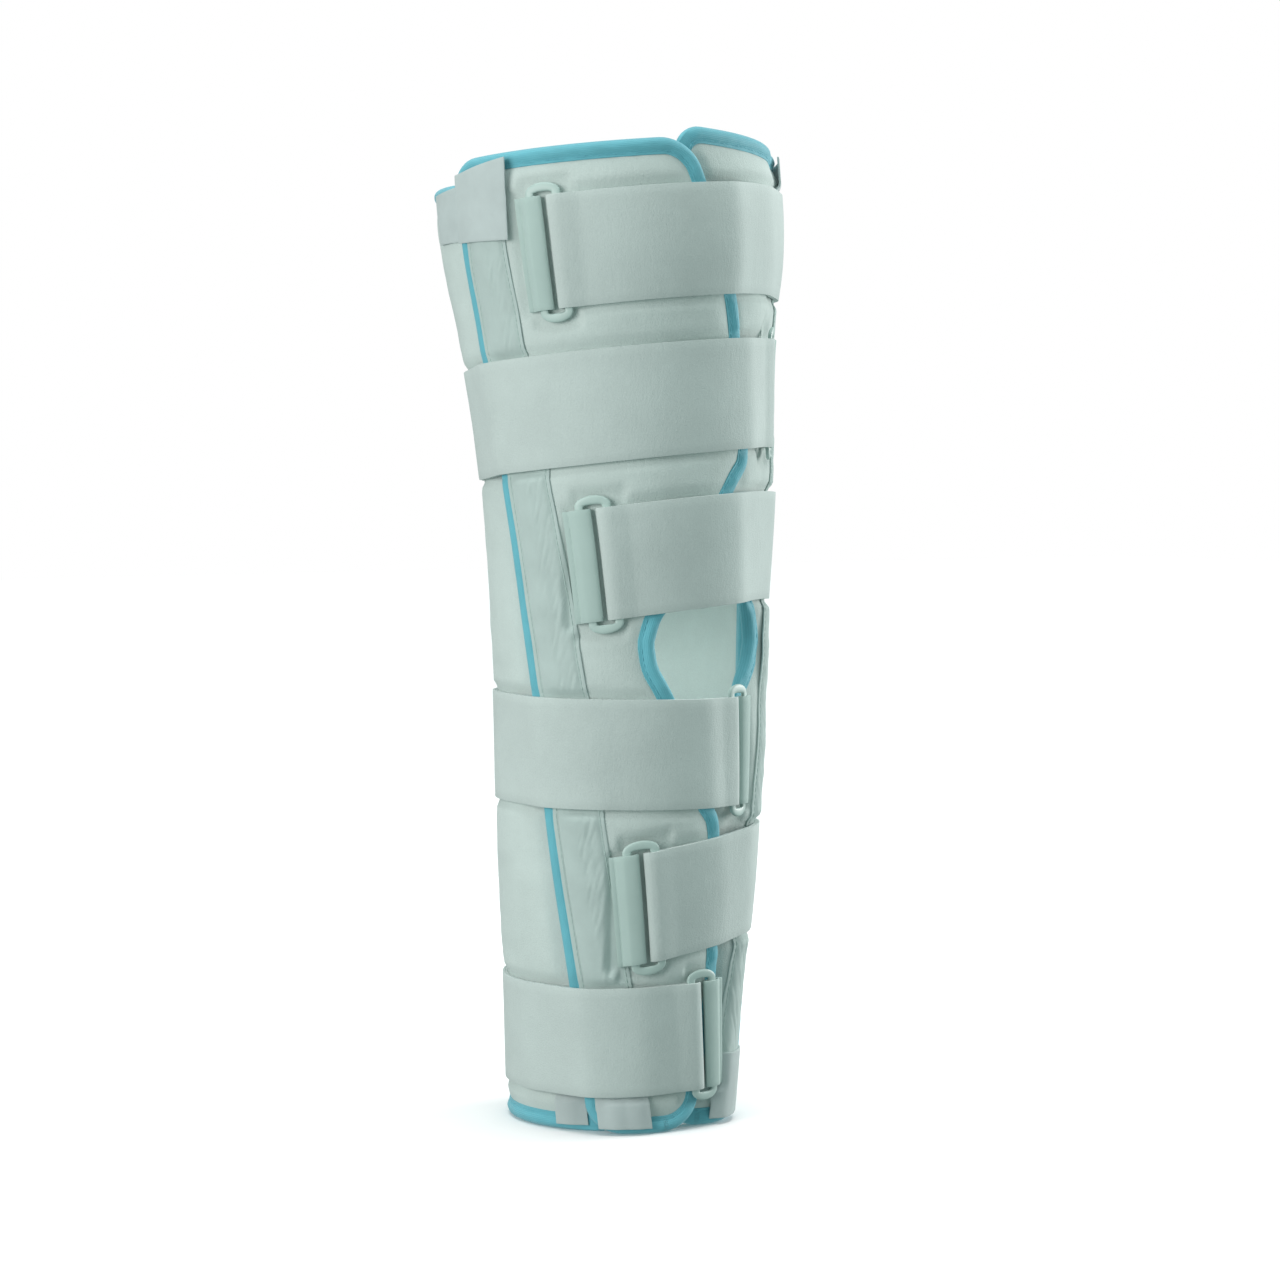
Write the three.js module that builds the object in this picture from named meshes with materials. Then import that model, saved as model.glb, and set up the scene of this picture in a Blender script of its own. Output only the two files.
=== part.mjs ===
// A knee immobilizer: three padded panels closed round the leg by six straps, each turned back
// through a flat oval ring. All lengths are in millimetres and all angles in degrees.
//
// The brace is shaped about the middle of the foot opening and stored about the middle of its
// bounding box, at the foot. +Z is up the leg and the knee opening faces -Y.
// A place on the brace is an angle from the front, positive toward the left panel (-X), a height
// above the foot, and an outward distance from the surface that touches the leg.

import * as THREE from 'three';

// The leg space.
const brace_height = 457;
const thigh_radius = 70.6;
const calf_radius = 44.2;
const thigh_setback = 11;

// Panels. The left one laps over the right one in front, and both lap over the back one.
const foam_thick = 5;
const foam_edge_thick = 2.6;
const left_top_rear_height = 441;
const left_top_front_height = 451;
const right_top_rear_height = 450;
const back_panel_drop = 7;
const panel_corner_radius = 13;
const rear_lap = 20;
const lap_climb = 24;

// Knee opening, half of it cut into the front edge of each side panel.
const knee_height = 222;
const knee_cut_height = 158;
const knee_cut_depth = 43;

// Tape folded round the panel edges.
const binding_wall = 1;
const binding_band = 6.6;

// Stay pockets along the rear edges, and the tabs over their ends.
const pocket_width = 24.5;
const pocket_thick = 1.5;
const rear_piping_show = 5.5;
const pocket_end_inset = 10;
const top_tab_width = 32;
const top_tab_length = 34;
const top_tab_inset = 2.5;
const bottom_tab_width = 24;
const bottom_tab_length = 30;
const bottom_tab_inset = 6;
const back_top_tab_width = 32;
const back_bottom_tab_width = 17;
const tab_thick = 1.5;
const tab_edge_inset = 3;

// Straps and their rings.
const strap_width = 50;
const strap_thick = 1.8;
const strap_end_gap = 24;
const ring_bar_width = 3.6;
const ring_bar_thick = 2.4;
const ring_slot = 8.4;
const ring_end_gap = 1.2;
const ring_arc_height = 2.6;
const loop_thick = 1.4;
const loop_reach = 14;

// Clearances between pieces.
const gap = 0.35;
const binding_gap = 0.62;
const lap_gap = 0.65;
const fold_gap = 0.3;
const fold_slack = 1.1;
const strap_clearance = 0.55;
const pocket_clearance = 0.55;

// How steeply a taut strap comes down from a step below it.
const strap_fall = 0.22;

// Inside surface up the leg. Girth runs from the calf radius (0) to the thigh radius (1), and set is
// the share of the thigh's setback by which the middle lies behind the foot's.
const leg_sections = [
  { at: 0.00, girth: 0.00, set: 0.00 },
  { at: 0.13, girth: 0.09, set: -0.17 },
  { at: 0.26, girth: 0.24, set: -0.35 },
  { at: 0.45, girth: 0.36, set: -0.56 },
  { at: 0.57, girth: 0.46, set: -0.56 },
  { at: 0.69, girth: 0.61, set: -0.34 },
  { at: 0.79, girth: 0.78, set: 0.16 },
  { at: 0.88, girth: 0.92, set: 0.74 },
  { at: 0.93, girth: 0.96, set: 1.00 },
  { at: 1.00, girth: 1.01, set: 1.50 },
];

// Angles of the side panels' edges from the front, toward each panel's own side.
const side_edges = [
  { at: 0.000, left_front: -6.0, right_front: -3.0, rear: 47.5 },
  { at: 0.035, left_front: -9.0, right_front: -4.0, rear: 49.5 },
  { at: 0.150, left_front: -17.0, right_front: -6.0, rear: 57.0 },
  { at: 0.320, left_front: -12.5, right_front: -6.0, rear: 68.0 },
  { at: 0.440, left_front: -16.5, right_front: -1.0, rear: 74.0 },
  { at: 0.540, left_front: -17.5, right_front: 0.0, rear: 79.5 },
  { at: 0.660, left_front: -17.0, right_front: -6.0, rear: 85.0 },
  { at: 0.790, left_front: -13.5, right_front: -7.0, rear: 87.5 },
  { at: 0.840, left_front: -10.0, right_front: -8.0, rear: 88.5 },
  { at: 0.940, left_front: 2.0, right_front: -9.0, rear: 90.5 },
  { at: 1.000, left_front: 8.0, right_front: -9.0, rear: 92.5 },
];

// Depth of the knee cut, from its middle (0) to either end (1), as a share of its full depth.
const knee_cut_shape = [
  { from_middle: 0.00, depth: 1.00 },
  { from_middle: 0.12, depth: 0.95 },
  { from_middle: 0.24, depth: 0.82 },
  { from_middle: 0.48, depth: 0.56 },
  { from_middle: 0.72, depth: 0.34 },
  { from_middle: 0.90, depth: 0.17 },
  { from_middle: 1.00, depth: 0.04 },
  { from_middle: 1.10, depth: 0.00 },
];

// Straps from the top down. Height is the middle line's at the sides, as a share of the brace height.
// Front and right say how far, as a share of the strap width, that line lies higher at the front and
// on the right. Lean is how far the ring's top lies toward the left, as a share of the strap width.
const straps = [
  { height: 0.874, front: 0.12, right: 0.12, ring_side: 'left', ring_angle: 55.0, lean: 0.03 },
  { height: 0.722, front: 0.11, right: 0.11, ring_side: 'right', ring_angle: 50.0, lean: 0.07 },
  { height: 0.566, front: 0.14, right: 0.11, ring_side: 'left', ring_angle: 42.7, lean: 0.10 },
  { height: 0.381, front: 0.00, right: -0.02, ring_side: 'right', ring_angle: 25.8, lean: 0.11 },
  { height: 0.227, front: 0.09, right: 0.16, ring_side: 'left', ring_angle: 26.4, lean: 0.10 },
  { height: 0.096, front: 0.00, right: 0.03, ring_side: 'right', ring_angle: 7.8, lean: 0.11 },
];
const strap_start_angle = 170;
const strap_step_angle = 8;

// Colours.
const foam_cloth = 0xbfccc8;
const binding_cloth = 0x5aa9b3;
const pocket_cloth = 0xb5c8c2;
const tab_cloth = 0xc2cecb;
const strap_cloth = 0xb9cac6;
const ring_plastic = 0xb4c8c3;
const webbing = 0xaec3bd;

const DEGREE = Math.PI / 180;

// Thickness of a bound edge on each side of its middle surface.
const binding_half_inside = foam_edge_thick / 2 + binding_gap;
const binding_half = binding_half_inside + binding_wall;
const edge_inset = binding_wall + gap;
const back_panel_height = left_top_rear_height - back_panel_drop;
const back_middle = binding_half;
const lapped_middle = back_middle + 2 * binding_half + lap_gap;

function clamp(value, low, high) {
  return Math.min(high, Math.max(low, value));
}

function ease(share) {
  const t = clamp(share, 0, 1);
  return t * t * (3 - 2 * t);
}

// Smooth value of a table's column, with each row's slope kept from overshooting its neighbours.
function along(table, at_column, column, at) {
  const last = table.length - 1;
  if (at <= table[0][at_column]) {
    return table[0][column];
  }
  if (at >= table[last][at_column]) {
    return table[last][column];
  }
  const rise = (i) => (table[i + 1][column] - table[i][column]) / (table[i + 1][at_column] - table[i][at_column]);
  const slope = (i) => {
    if (i === 0 || i === last) {
      return rise(Math.min(i, last - 1));
    }
    const before = rise(i - 1);
    const after = rise(i);
    return before * after <= 0 ? 0 : (2 * before * after) / (before + after);
  };
  let i = 0;
  while (at > table[i + 1][at_column]) {
    i += 1;
  }
  const span = table[i + 1][at_column] - table[i][at_column];
  const t = (at - table[i][at_column]) / span;
  const a = 2 * t ** 3 - 3 * t ** 2 + 1;
  const b = t ** 3 - 2 * t ** 2 + t;
  const c = -2 * t ** 3 + 3 * t ** 2;
  const d = t ** 3 - t ** 2;
  return a * table[i][column] + b * span * slope(i) + c * table[i + 1][column] + d * span * slope(i + 1);
}

function legRadius(height) {
  const girth = along(leg_sections, 'at', 'girth', height / brace_height);
  return calf_radius + (thigh_radius - calf_radius) * girth;
}

function legSet(height) {
  return thigh_setback * along(leg_sections, 'at', 'set', height / brace_height);
}

function place(angle, height, out) {
  const radius = legRadius(height) + out;
  const turn = angle * DEGREE;
  return new THREE.Vector3(-radius * Math.sin(turn), legSet(height) - radius * Math.cos(turn), height);
}

// Angle that a length along the surface takes at a height and an outward distance.
function lengthToAngle(length, height, out) {
  return length / (legRadius(height) + out) / DEGREE;
}

function kneeCut(height) {
  const from_middle = Math.abs(height - knee_height) / (knee_cut_height / 2);
  return knee_cut_depth * along(knee_cut_shape, 'from_middle', 'depth', from_middle);
}

function rearAngle(height) {
  return along(side_edges, 'at', 'rear', height / brace_height);
}

function frontAngle(side, height) {
  const straight = along(side_edges, 'at', `${side}_front`, height / brace_height);
  return straight + lengthToAngle(kneeCut(height), height, lapped_middle);
}

function lapAngle(height) {
  return lengthToAngle(rear_lap, height, lapped_middle);
}

// The left panel lies outside both others. The right one starts under it and climbs onto the back one.
function panelMiddle(piece, own_angle, height) {
  if (piece === 'back') {
    return back_middle;
  }
  if (piece === 'left') {
    return lapped_middle;
  }
  const climb_end = rearAngle(height) - lapAngle(height);
  const covered = -along(side_edges, 'at', 'left_front', height / brace_height);
  const climb_start = Math.max(covered, climb_end - lengthToAngle(lap_climb, height, lapped_middle));
  return back_middle + (lapped_middle - back_middle) * ease((own_angle - climb_start) / (climb_end - climb_start));
}

function mesh(name, colour, points, faces) {
  const positions = [];
  points.forEach((p) => positions.push(p.x, p.y, p.z));
  let volume = 0;
  faces.forEach(([a, b, c]) => {
    volume += points[a].dot(new THREE.Vector3().crossVectors(points[b], points[c]));
  });
  const outward = volume >= 0 ? faces : faces.map(([a, b, c]) => [a, c, b]);
  const geometry = new THREE.BufferGeometry();
  geometry.setAttribute('position', new THREE.Float32BufferAttribute(positions, 3));
  geometry.setIndex(outward.flat());
  geometry.computeVertexNormals();
  const piece = new THREE.Mesh(geometry, new THREE.MeshStandardMaterial({ color: colour, roughness: 0.9 }));
  piece.name = name;
  return piece;
}

// A four-sided face, split along its shorter diagonal.
function split(points, a, b, c, d) {
  const first = points[a].distanceToSquared(points[c]);
  const second = points[b].distanceToSquared(points[d]);
  return first <= second ? [[a, b, c], [a, c, d]] : [[a, b, d], [b, c, d]];
}

// A thin closed solid from a grid of places, each with an outer and an inner point.
function slab(name, colour, grid) {
  const rows = grid.length;
  const columns = grid[0].length;
  const points = [];
  grid.forEach((row) => row.forEach((node) => points.push(node.outer)));
  grid.forEach((row) => row.forEach((node) => points.push(node.inner)));
  const outer = (r, c) => r * columns + c;
  const inner = (r, c) => rows * columns + r * columns + c;
  const faces = [];
  for (let r = 0; r + 1 < rows; r += 1) {
    for (let c = 0; c + 1 < columns; c += 1) {
      faces.push(...split(points, outer(r, c), outer(r, c + 1), outer(r + 1, c + 1), outer(r + 1, c)));
      faces.push(...split(points, inner(r, c), inner(r + 1, c), inner(r + 1, c + 1), inner(r, c + 1)));
    }
  }
  const rim = (r1, c1, r2, c2) => {
    faces.push([outer(r1, c1), inner(r1, c1), inner(r2, c2)], [outer(r1, c1), inner(r2, c2), outer(r2, c2)]);
  };
  for (let c = 0; c + 1 < columns; c += 1) {
    rim(0, c, 0, c + 1);
    rim(rows - 1, c + 1, rows - 1, c);
  }
  for (let r = 0; r + 1 < rows; r += 1) {
    rim(r + 1, 0, r, 0);
    rim(r, columns - 1, r + 1, columns - 1);
  }
  return mesh(name, colour, points, faces);
}

// A solid through a row of like sections, joined end to end or closed at both ends.
function sweep(name, colour, sections, joined) {
  const sides = sections[0].length;
  const points = sections.flat();
  const faces = [];
  const count = joined ? sections.length : sections.length - 1;
  for (let i = 0; i < count; i += 1) {
    const here = i * sides;
    const next = ((i + 1) % sections.length) * sides;
    for (let k = 0; k < sides; k += 1) {
      const m = (k + 1) % sides;
      faces.push(...split(points, here + k, here + m, next + m, next + k));
    }
  }
  if (!joined) {
    const end = (sections.length - 1) * sides;
    for (let k = 1; k + 1 < sides; k += 1) {
      faces.push([0, k + 1, k], [end, end + k, end + k + 1]);
    }
  }
  return mesh(name, colour, points, faces);
}

// Even steps across a panel between its taped edges.
const side_columns = 7;
const back_columns = 15;

// Shares of a corner's radius at which rows are set through it.
const corner_turns = [0, 25, 55, 90];
const corner_rows = corner_turns.map((turn) => 1 - Math.cos(turn * DEGREE));

function cornerInset(rise) {
  if (rise >= panel_corner_radius) {
    return 0;
  }
  const drop = panel_corner_radius - rise;
  return panel_corner_radius - Math.sqrt(Math.max(0, panel_corner_radius ** 2 - drop ** 2));
}

// Heights of a panel's rows below a level top, close together in the corners and along the knee cut.
function panelRows(top, middle_rows) {
  const bottom = edge_inset;
  const low = corner_rows.map((share) => bottom + panel_corner_radius * share);
  const high = corner_rows.map((share) => top - edge_inset - panel_corner_radius * share).reverse();
  return [...low, ...middle_rows, ...high];
}

function sideRows(top) {
  const half = knee_cut_height / 2;
  const steps = [0.08, 0.24, 0.50, 0.76, 0.95, 1.09];
  const cut = [...steps.map((s) => knee_height - s * half).reverse(), ...steps.map((s) => knee_height + s * half)];
  const foot = edge_inset + panel_corner_radius;
  const low_end = cut[0];
  const high_end = cut[cut.length - 1];
  const head = top - edge_inset - panel_corner_radius;
  const low = [1, 2, 3].map((i) => foot + ((low_end - foot) * i) / 4);
  const high = [1, 2, 3, 4].map((i) => high_end + ((head - high_end) * i) / 5);
  return panelRows(top, [...low, ...cut, ...high]);
}

// Own angles of a row's places: both edges, both lines where the tape ends, and even steps between.
// A corner's inset draws in the edges and the tape's lines, and leaves the rest where they are.
function acrossPanel(from, to, height, inset, middle_columns) {
  const band = lengthToAngle(binding_band + gap, height, back_middle);
  const drawn = lengthToAngle(inset, height, back_middle);
  const inner = [];
  for (let i = 0; i <= middle_columns; i += 1) {
    inner.push(from + 2 * band + ((to - from - 4 * band) * i) / middle_columns);
  }
  return [from + drawn, from + band + drawn / 2, ...inner, to - band - drawn / 2, to - drawn];
}

// Grid of places of a side panel, from its front edge to its rear edge and from the foot up.
function sidePlaces(side) {
  const top_rear = side === 'left' ? left_top_rear_height : right_top_rear_height;
  const top_front = side === 'left' ? left_top_front_height : brace_height;
  const top = (top_rear + top_front) / 2;
  const foot = edge_inset;
  return sideRows(top).map((level) => {
    const inset = cornerInset(level - foot) + cornerInset(top - edge_inset - level);
    const front = frontAngle(side, level) + lengthToAngle(edge_inset, level, lapped_middle);
    const rear = rearAngle(level) - lengthToAngle(edge_inset, level, lapped_middle);
    return acrossPanel(front, rear, level, inset, side_columns).map((own) => {
      const share = (own - front) / (rear - front);
      const tilt = ((top_rear - top_front) * (share - 0.5)) / top;
      return { own, height: foot + (level - foot) * (1 + tilt) };
    });
  });
}

function backPlaces() {
  const foot = edge_inset;
  const head = back_panel_height - edge_inset;
  const middle = [1, 2, 3, 4, 5, 6, 7].map(
    (i) => foot + panel_corner_radius + ((head - foot - 2 * panel_corner_radius) * i) / 8
  );
  return panelRows(back_panel_height, middle).map((height) => {
    const inset = cornerInset(height - foot) + cornerInset(head - height);
    const edge = rearAngle(height) - lapAngle(height) + lengthToAngle(edge_inset, height, back_middle);
    return acrossPanel(edge, 360 - edge, height, inset, back_columns).map((own) => ({ own, height }));
  });
}

// The outline of a grid of places, from the first row's start round to it again.
function outline(places) {
  const rows = places.length;
  const columns = places[0].length;
  const loop = [];
  for (let c = 0; c < columns; c += 1) {
    loop.push(places[0][c]);
  }
  for (let r = 1; r < rows; r += 1) {
    loop.push(places[r][columns - 1]);
  }
  for (let c = columns - 2; c >= 0; c -= 1) {
    loop.push(places[rows - 1][c]);
  }
  for (let r = rows - 2; r > 0; r -= 1) {
    loop.push(places[r][0]);
  }
  return loop;
}

function flatPoint(place_at) {
  return { s: place_at.own * DEGREE * (legRadius(place_at.height) + lapped_middle), z: place_at.height };
}

function edgeDistance(place_at, loop) {
  const p = flatPoint(place_at);
  let best = Infinity;
  for (let i = 0; i < loop.length; i += 1) {
    const a = flatPoint(loop[i]);
    const b = flatPoint(loop[(i + 1) % loop.length]);
    const length = (b.s - a.s) ** 2 + (b.z - a.z) ** 2;
    const t = length > 0 ? clamp(((p.s - a.s) * (b.s - a.s) + (p.z - a.z) * (b.z - a.z)) / length, 0, 1) : 0;
    best = Math.min(best, Math.hypot(p.s - a.s - t * (b.s - a.s), p.z - a.z - t * (b.z - a.z)));
  }
  return best;
}

const side_sign = { left: 1, right: -1, back: 1 };

function panelPieces(piece, places, colour) {
  const sign = side_sign[piece];
  const loop = outline(places);
  const half = (distance) => {
    const share = clamp((distance - binding_band - gap) / binding_band, 0, 1);
    return (foam_edge_thick + (foam_thick - foam_edge_thick) * share) / 2;
  };
  const grid = places.map((row) => row.map((at) => {
    const middle = panelMiddle(piece, at.own, at.height);
    const thick = half(edgeDistance(at, loop));
    return {
      outer: place(sign * at.own, at.height, middle + thick),
      inner: place(sign * at.own, at.height, middle - thick),
    };
  }));
  const panel = slab(`${piece}_panel`, colour, grid);

  // The tape's section, as distances inward from the panel's edge and outward from its middle.
  const section = [
    [binding_band, binding_half],
    [-edge_inset, binding_half],
    [-edge_inset, -binding_half],
    [binding_band, -binding_half],
    [binding_band, -binding_half_inside],
    [-gap, -binding_half_inside],
    [-gap, binding_half_inside],
    [binding_band, binding_half_inside],
  ];
  const sections = loop.map((at, i) => {
    const before = flatPoint(loop[(i + loop.length - 1) % loop.length]);
    const here = flatPoint(at);
    const after = flatPoint(loop[(i + 1) % loop.length]);
    const first = unit(here.s - before.s, here.z - before.z);
    const second = unit(after.s - here.s, after.z - here.z);
    const mean = unit(first[0] + second[0], first[1] + second[1]);
    const inward = [-mean[1], mean[0]];
    const mitre = 1 / Math.max(0.75, mean[0] * first[0] + mean[1] * first[1]);
    return section.map(([inward_by, out]) => {
      const height = at.height + inward[1] * inward_by * mitre;
      const own = at.own + lengthToAngle(inward[0] * inward_by * mitre, at.height, lapped_middle);
      return place(sign * own, height, panelMiddle(piece, own, height) + out);
    });
  });
  const binding = sweep(`${piece}_panel_binding`, binding_cloth, sections, true);
  return [panel, binding];
}

function unit(x, y) {
  const length = Math.hypot(x, y) || 1;
  return [x / length, y / length];
}

// A flat strip over a panel's outer side, between two own angles that may change with height.
function patch(name, colour, sign, heights, angles, columns, out, thick) {
  const grid = heights.map((height) => {
    const [from, to] = angles(height);
    const row = [];
    for (let i = 0; i <= columns; i += 1) {
      const own = from + ((to - from) * i) / columns;
      const under = out(own, height);
      row.push({ outer: place(sign * own, height, under + thick), inner: place(sign * own, height, under) });
    }
    return row;
  });
  return slab(name, colour, grid);
}

function steps(from, to, count) {
  return Array.from({ length: count + 1 }, (_, i) => from + ((to - from) * i) / count);
}

// Outward distances of the stacked cloth on the side panels' rear edges, from their middle surface
// and, where they lap over the back panel, from the leg.
const pocket_rise = binding_half + pocket_clearance;
const tab_rise = pocket_rise + pocket_thick + gap;
const pocket_out = lapped_middle + pocket_rise;
const tab_out = lapped_middle + tab_rise;
const back_tab_out = back_middle + binding_half + gap;

function pocketUnder(side) {
  return (own, height) => panelMiddle(side, own, height) + pocket_rise;
}

function tabUnder(side) {
  return (own, height) => panelMiddle(side, own, height) + tab_rise;
}

function backTabUnder() {
  return back_tab_out;
}

function pocketAngles(height) {
  const rear = rearAngle(height);
  const from = rear - lengthToAngle(rear_piping_show + pocket_width, height, pocket_out);
  return [from, rear - lengthToAngle(rear_piping_show, height, pocket_out)];
}

function tabAngles(inset, width) {
  return (height) => {
    const rear = rearAngle(height);
    return [rear - lengthToAngle(inset + width, height, tab_out), rear - lengthToAngle(inset, height, tab_out)];
  };
}

function backTabAngles(width) {
  return (height) => {
    const from = rearAngle(height) + lengthToAngle(2 * gap, height, back_tab_out);
    return [from, from + lengthToAngle(width, height, back_tab_out)];
  };
}

const topTabAngles = tabAngles(top_tab_inset, top_tab_width);
const bottomTabAngles = tabAngles(bottom_tab_inset, bottom_tab_width);
const backTopTabAngles = backTabAngles(back_top_tab_width);
const backBottomTabAngles = backTabAngles(back_bottom_tab_width);

function topTabHeights(side) {
  const top = (side === 'left' ? left_top_rear_height : right_top_rear_height) - tab_edge_inset;
  return [top - top_tab_length, top];
}

const bottom_tab_heights = [tab_edge_inset, tab_edge_inset + bottom_tab_length];
const back_top_tab_heights = [
  back_panel_height - tab_edge_inset - top_tab_length,
  back_panel_height - tab_edge_inset,
];

// Every cloth layer that a strap may lie on, with the own angles and heights that it covers.
const layers = [];
['left', 'right'].forEach((side) => {
  const sign = side_sign[side];
  const panel_top = side === 'left' ? left_top_front_height : brace_height;
  layers.push({
    sign,
    heights: [0, panel_top],
    angles: (height) => [frontAngle(side, height), rearAngle(height)],
    top: (own, height) => panelMiddle(side, own, height) + binding_half,
  });
  const pocket_top = (own, height) => pocketUnder(side)(own, height) + pocket_thick;
  const tab_top = (own, height) => tabUnder(side)(own, height) + tab_thick;
  layers.push({ sign, heights: [0, panel_top], angles: pocketAngles, top: pocket_top });
  layers.push({ sign, heights: topTabHeights(side), angles: topTabAngles, top: tab_top });
  layers.push({ sign, heights: bottom_tab_heights, angles: bottomTabAngles, top: tab_top });
  const back_tab_top = () => back_tab_out + tab_thick;
  layers.push({ sign, heights: back_top_tab_heights, angles: backTopTabAngles, top: back_tab_top });
  layers.push({ sign, heights: bottom_tab_heights, angles: backBottomTabAngles, top: back_tab_top });
});

// Outer surface of the cloth under a place.
function clothTop(angle, height) {
  let top = 0;
  const turn = ((angle + 540) % 360) - 180;
  if (Math.abs(turn) >= rearAngle(height) - lapAngle(height) && height <= back_panel_height) {
    top = back_middle + binding_half;
  }
  layers.forEach((layer) => {
    const own = layer.sign * turn;
    if (height < layer.heights[0] - gap || height > layer.heights[1] + gap) {
      return;
    }
    const [from, to] = layer.angles(height);
    if (own >= from - 1 && own <= to + 1) {
      top = Math.max(top, layer.top(own, height));
    }
  });
  return top;
}

// A cloth layer turns round a ring's bar in even steps, with the bar's clearance kept on each flat.
// Its fold stands off the bar along the strap by a slack.
const fold_steps = 5;
const fold_step_angle = 180 / fold_steps;

function turnRadii(thick) {
  const flat = Math.cos((fold_step_angle / 2) * DEGREE);
  return {
    along: (ring_bar_width / 2 + fold_gap + fold_slack + thick / 2) / flat,
    out: (ring_bar_thick / 2 + fold_gap + thick / 2) / flat,
  };
}

const bar_at = ring_slot / 2 + ring_bar_width / 2;

// A strap, its ring and the ring's loop share these: own angles run from the ring's side.
function strapFrame(strap) {
  const sign = side_sign[strap.ring_side];
  const middle = brace_height * strap.height;
  const line = (own) => {
    const turn = sign * own * DEGREE;
    return middle + strap_width * (strap.front * Math.cos(turn) - strap.right * Math.sin(turn));
  };
  const radius_at = legRadius(middle) + lapped_middle + binding_half;
  const toOwn = (length) => length / radius_at / DEGREE;
  const at = (own, across, out) => {
    const height = line(own) + across;
    const lean = sign * toOwn(strap.lean * across);
    return place(sign * (own + lean), height, out);
  };

  // Cloth under a place of the strap, with what that cloth stands above the strap's straight width.
  const topUnder = (own, across) => {
    const angle = sign * own + toOwn(strap.lean * across);
    const top = clothTop(angle, line(own) + across);
    const share = clamp(across / strap_width + 0.5, 0, 1);
    const chord = at(own, -strap_width / 2, top).lerp(at(own, strap_width / 2, top), share);
    const out = new THREE.Vector3(-Math.sin(angle * DEGREE), -Math.cos(angle * DEGREE), 0);
    return top + Math.max(0, at(own, across, top).sub(chord).dot(out));
  };

  // Cloth under the strap, widened by a step and let down no faster than a taut strap falls.
  const ring_flat = toOwn(ring_slot + ring_bar_width + strap_width * 0.3);
  const sample = 1.5;
  const first = strap.ring_angle + ring_flat + strap_step_angle;
  const last = strap.ring_angle - 360 + strap_start_angle / 2;
  const raw = [];
  for (let own = first; own >= last; own -= sample) {
    const levels = [-0.5, -0.25, 0, 0.25, 0.5].map((share) => share * (strap_width + 4 * strap_clearance));
    raw.push({ own, top: Math.max(...levels.map((across) => topUnder(own, across))) });
  }
  const ring_tops = raw.filter((r) => Math.abs(r.own - strap.ring_angle) <= ring_flat).map((r) => r.top);
  const ring_seat = Math.max(...ring_tops) + strap_clearance;
  const lay = (own) => {
    let best = 0;
    raw.forEach((r) => {
      const top = Math.abs(r.own - strap.ring_angle) <= ring_flat ? ring_seat - strap_clearance : r.top;
      const away = Math.max(0, Math.abs(r.own - own) - strap_step_angle) * DEGREE * radius_at;
      best = Math.max(best, top - strap_fall * away);
    });
    return best + strap_clearance;
  };
  const bar_out = ring_seat + strap_thick / 2 + turnRadii(strap_thick).out;
  return { strap, toOwn, at, lay, topUnder, bar_out, radius_at };
}

// The strap runs from behind the leg to its ring, turns round the ring's near bar and lies back on itself.
function strapPiece(frame, name) {
  const { strap, toOwn, lay, bar_out } = frame;
  const round = turnRadii(strap_thick);
  const start = strap.ring_angle - 360 + strap_start_angle;
  const near = bar_at + round.along + strap_thick;
  const far = strap.ring_angle - toOwn(near + strap_step_angle);
  const count = Math.round((far - start) / strap_step_angle);
  const angles = steps(start, far, count);
  const path = angles.map((own) => ({ own, out: lay(own) + strap_thick / 2 }));
  const bar_own = strap.ring_angle - toOwn(bar_at);
  path.push({ own: bar_own, out: bar_out - round.out });
  for (let turn = fold_step_angle; turn <= 180; turn += fold_step_angle) {
    path.push({
      own: bar_own + toOwn(round.along * Math.sin(turn * DEGREE)),
      out: bar_out - round.out * Math.cos(turn * DEGREE),
    });
  }
  const layer_up = strap_thick + fold_gap;
  const back_count = angles.filter((own) => own >= start + toOwn(strap_end_gap)).length;
  const back = angles.slice(angles.length - back_count).reverse();
  back.forEach((own) => path.push({ own, out: lay(own) + strap_thick / 2 + layer_up }));
  return sweep(name, strap_cloth, ribbonSections(frame, path, strap_thick, strap_width), false);
}

// Sections of a ribbon whose middle line is a path of own angles and outward distances.
function ribbonSections(frame, path, thick, width) {
  const { at, toOwn, radius_at } = frame;
  const flat = path.map((p) => [p.own * DEGREE * radius_at, p.out]);
  return path.map((p, i) => {
    const before = i > 0 ? unit(flat[i][0] - flat[i - 1][0], flat[i][1] - flat[i - 1][1]) : null;
    const after = i + 1 < path.length ? unit(flat[i + 1][0] - flat[i][0], flat[i + 1][1] - flat[i][1]) : null;
    const mean = before && after ? unit(before[0] + after[0], before[1] + after[1]) : before || after;
    const near = before || after;
    const mitre = 1 / Math.max(0.6, mean[0] * near[0] + mean[1] * near[1]);
    const normal = [(-mean[1] * mitre * thick) / 2, (mean[0] * mitre * thick) / 2];
    const corner = (across, side) => at(p.own + toOwn(normal[0] * side), across, p.out + normal[1] * side);
    return [corner(-width / 2, 1), corner(width / 2, 1), corner(width / 2, -1), corner(-width / 2, -1)];
  });
}

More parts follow.
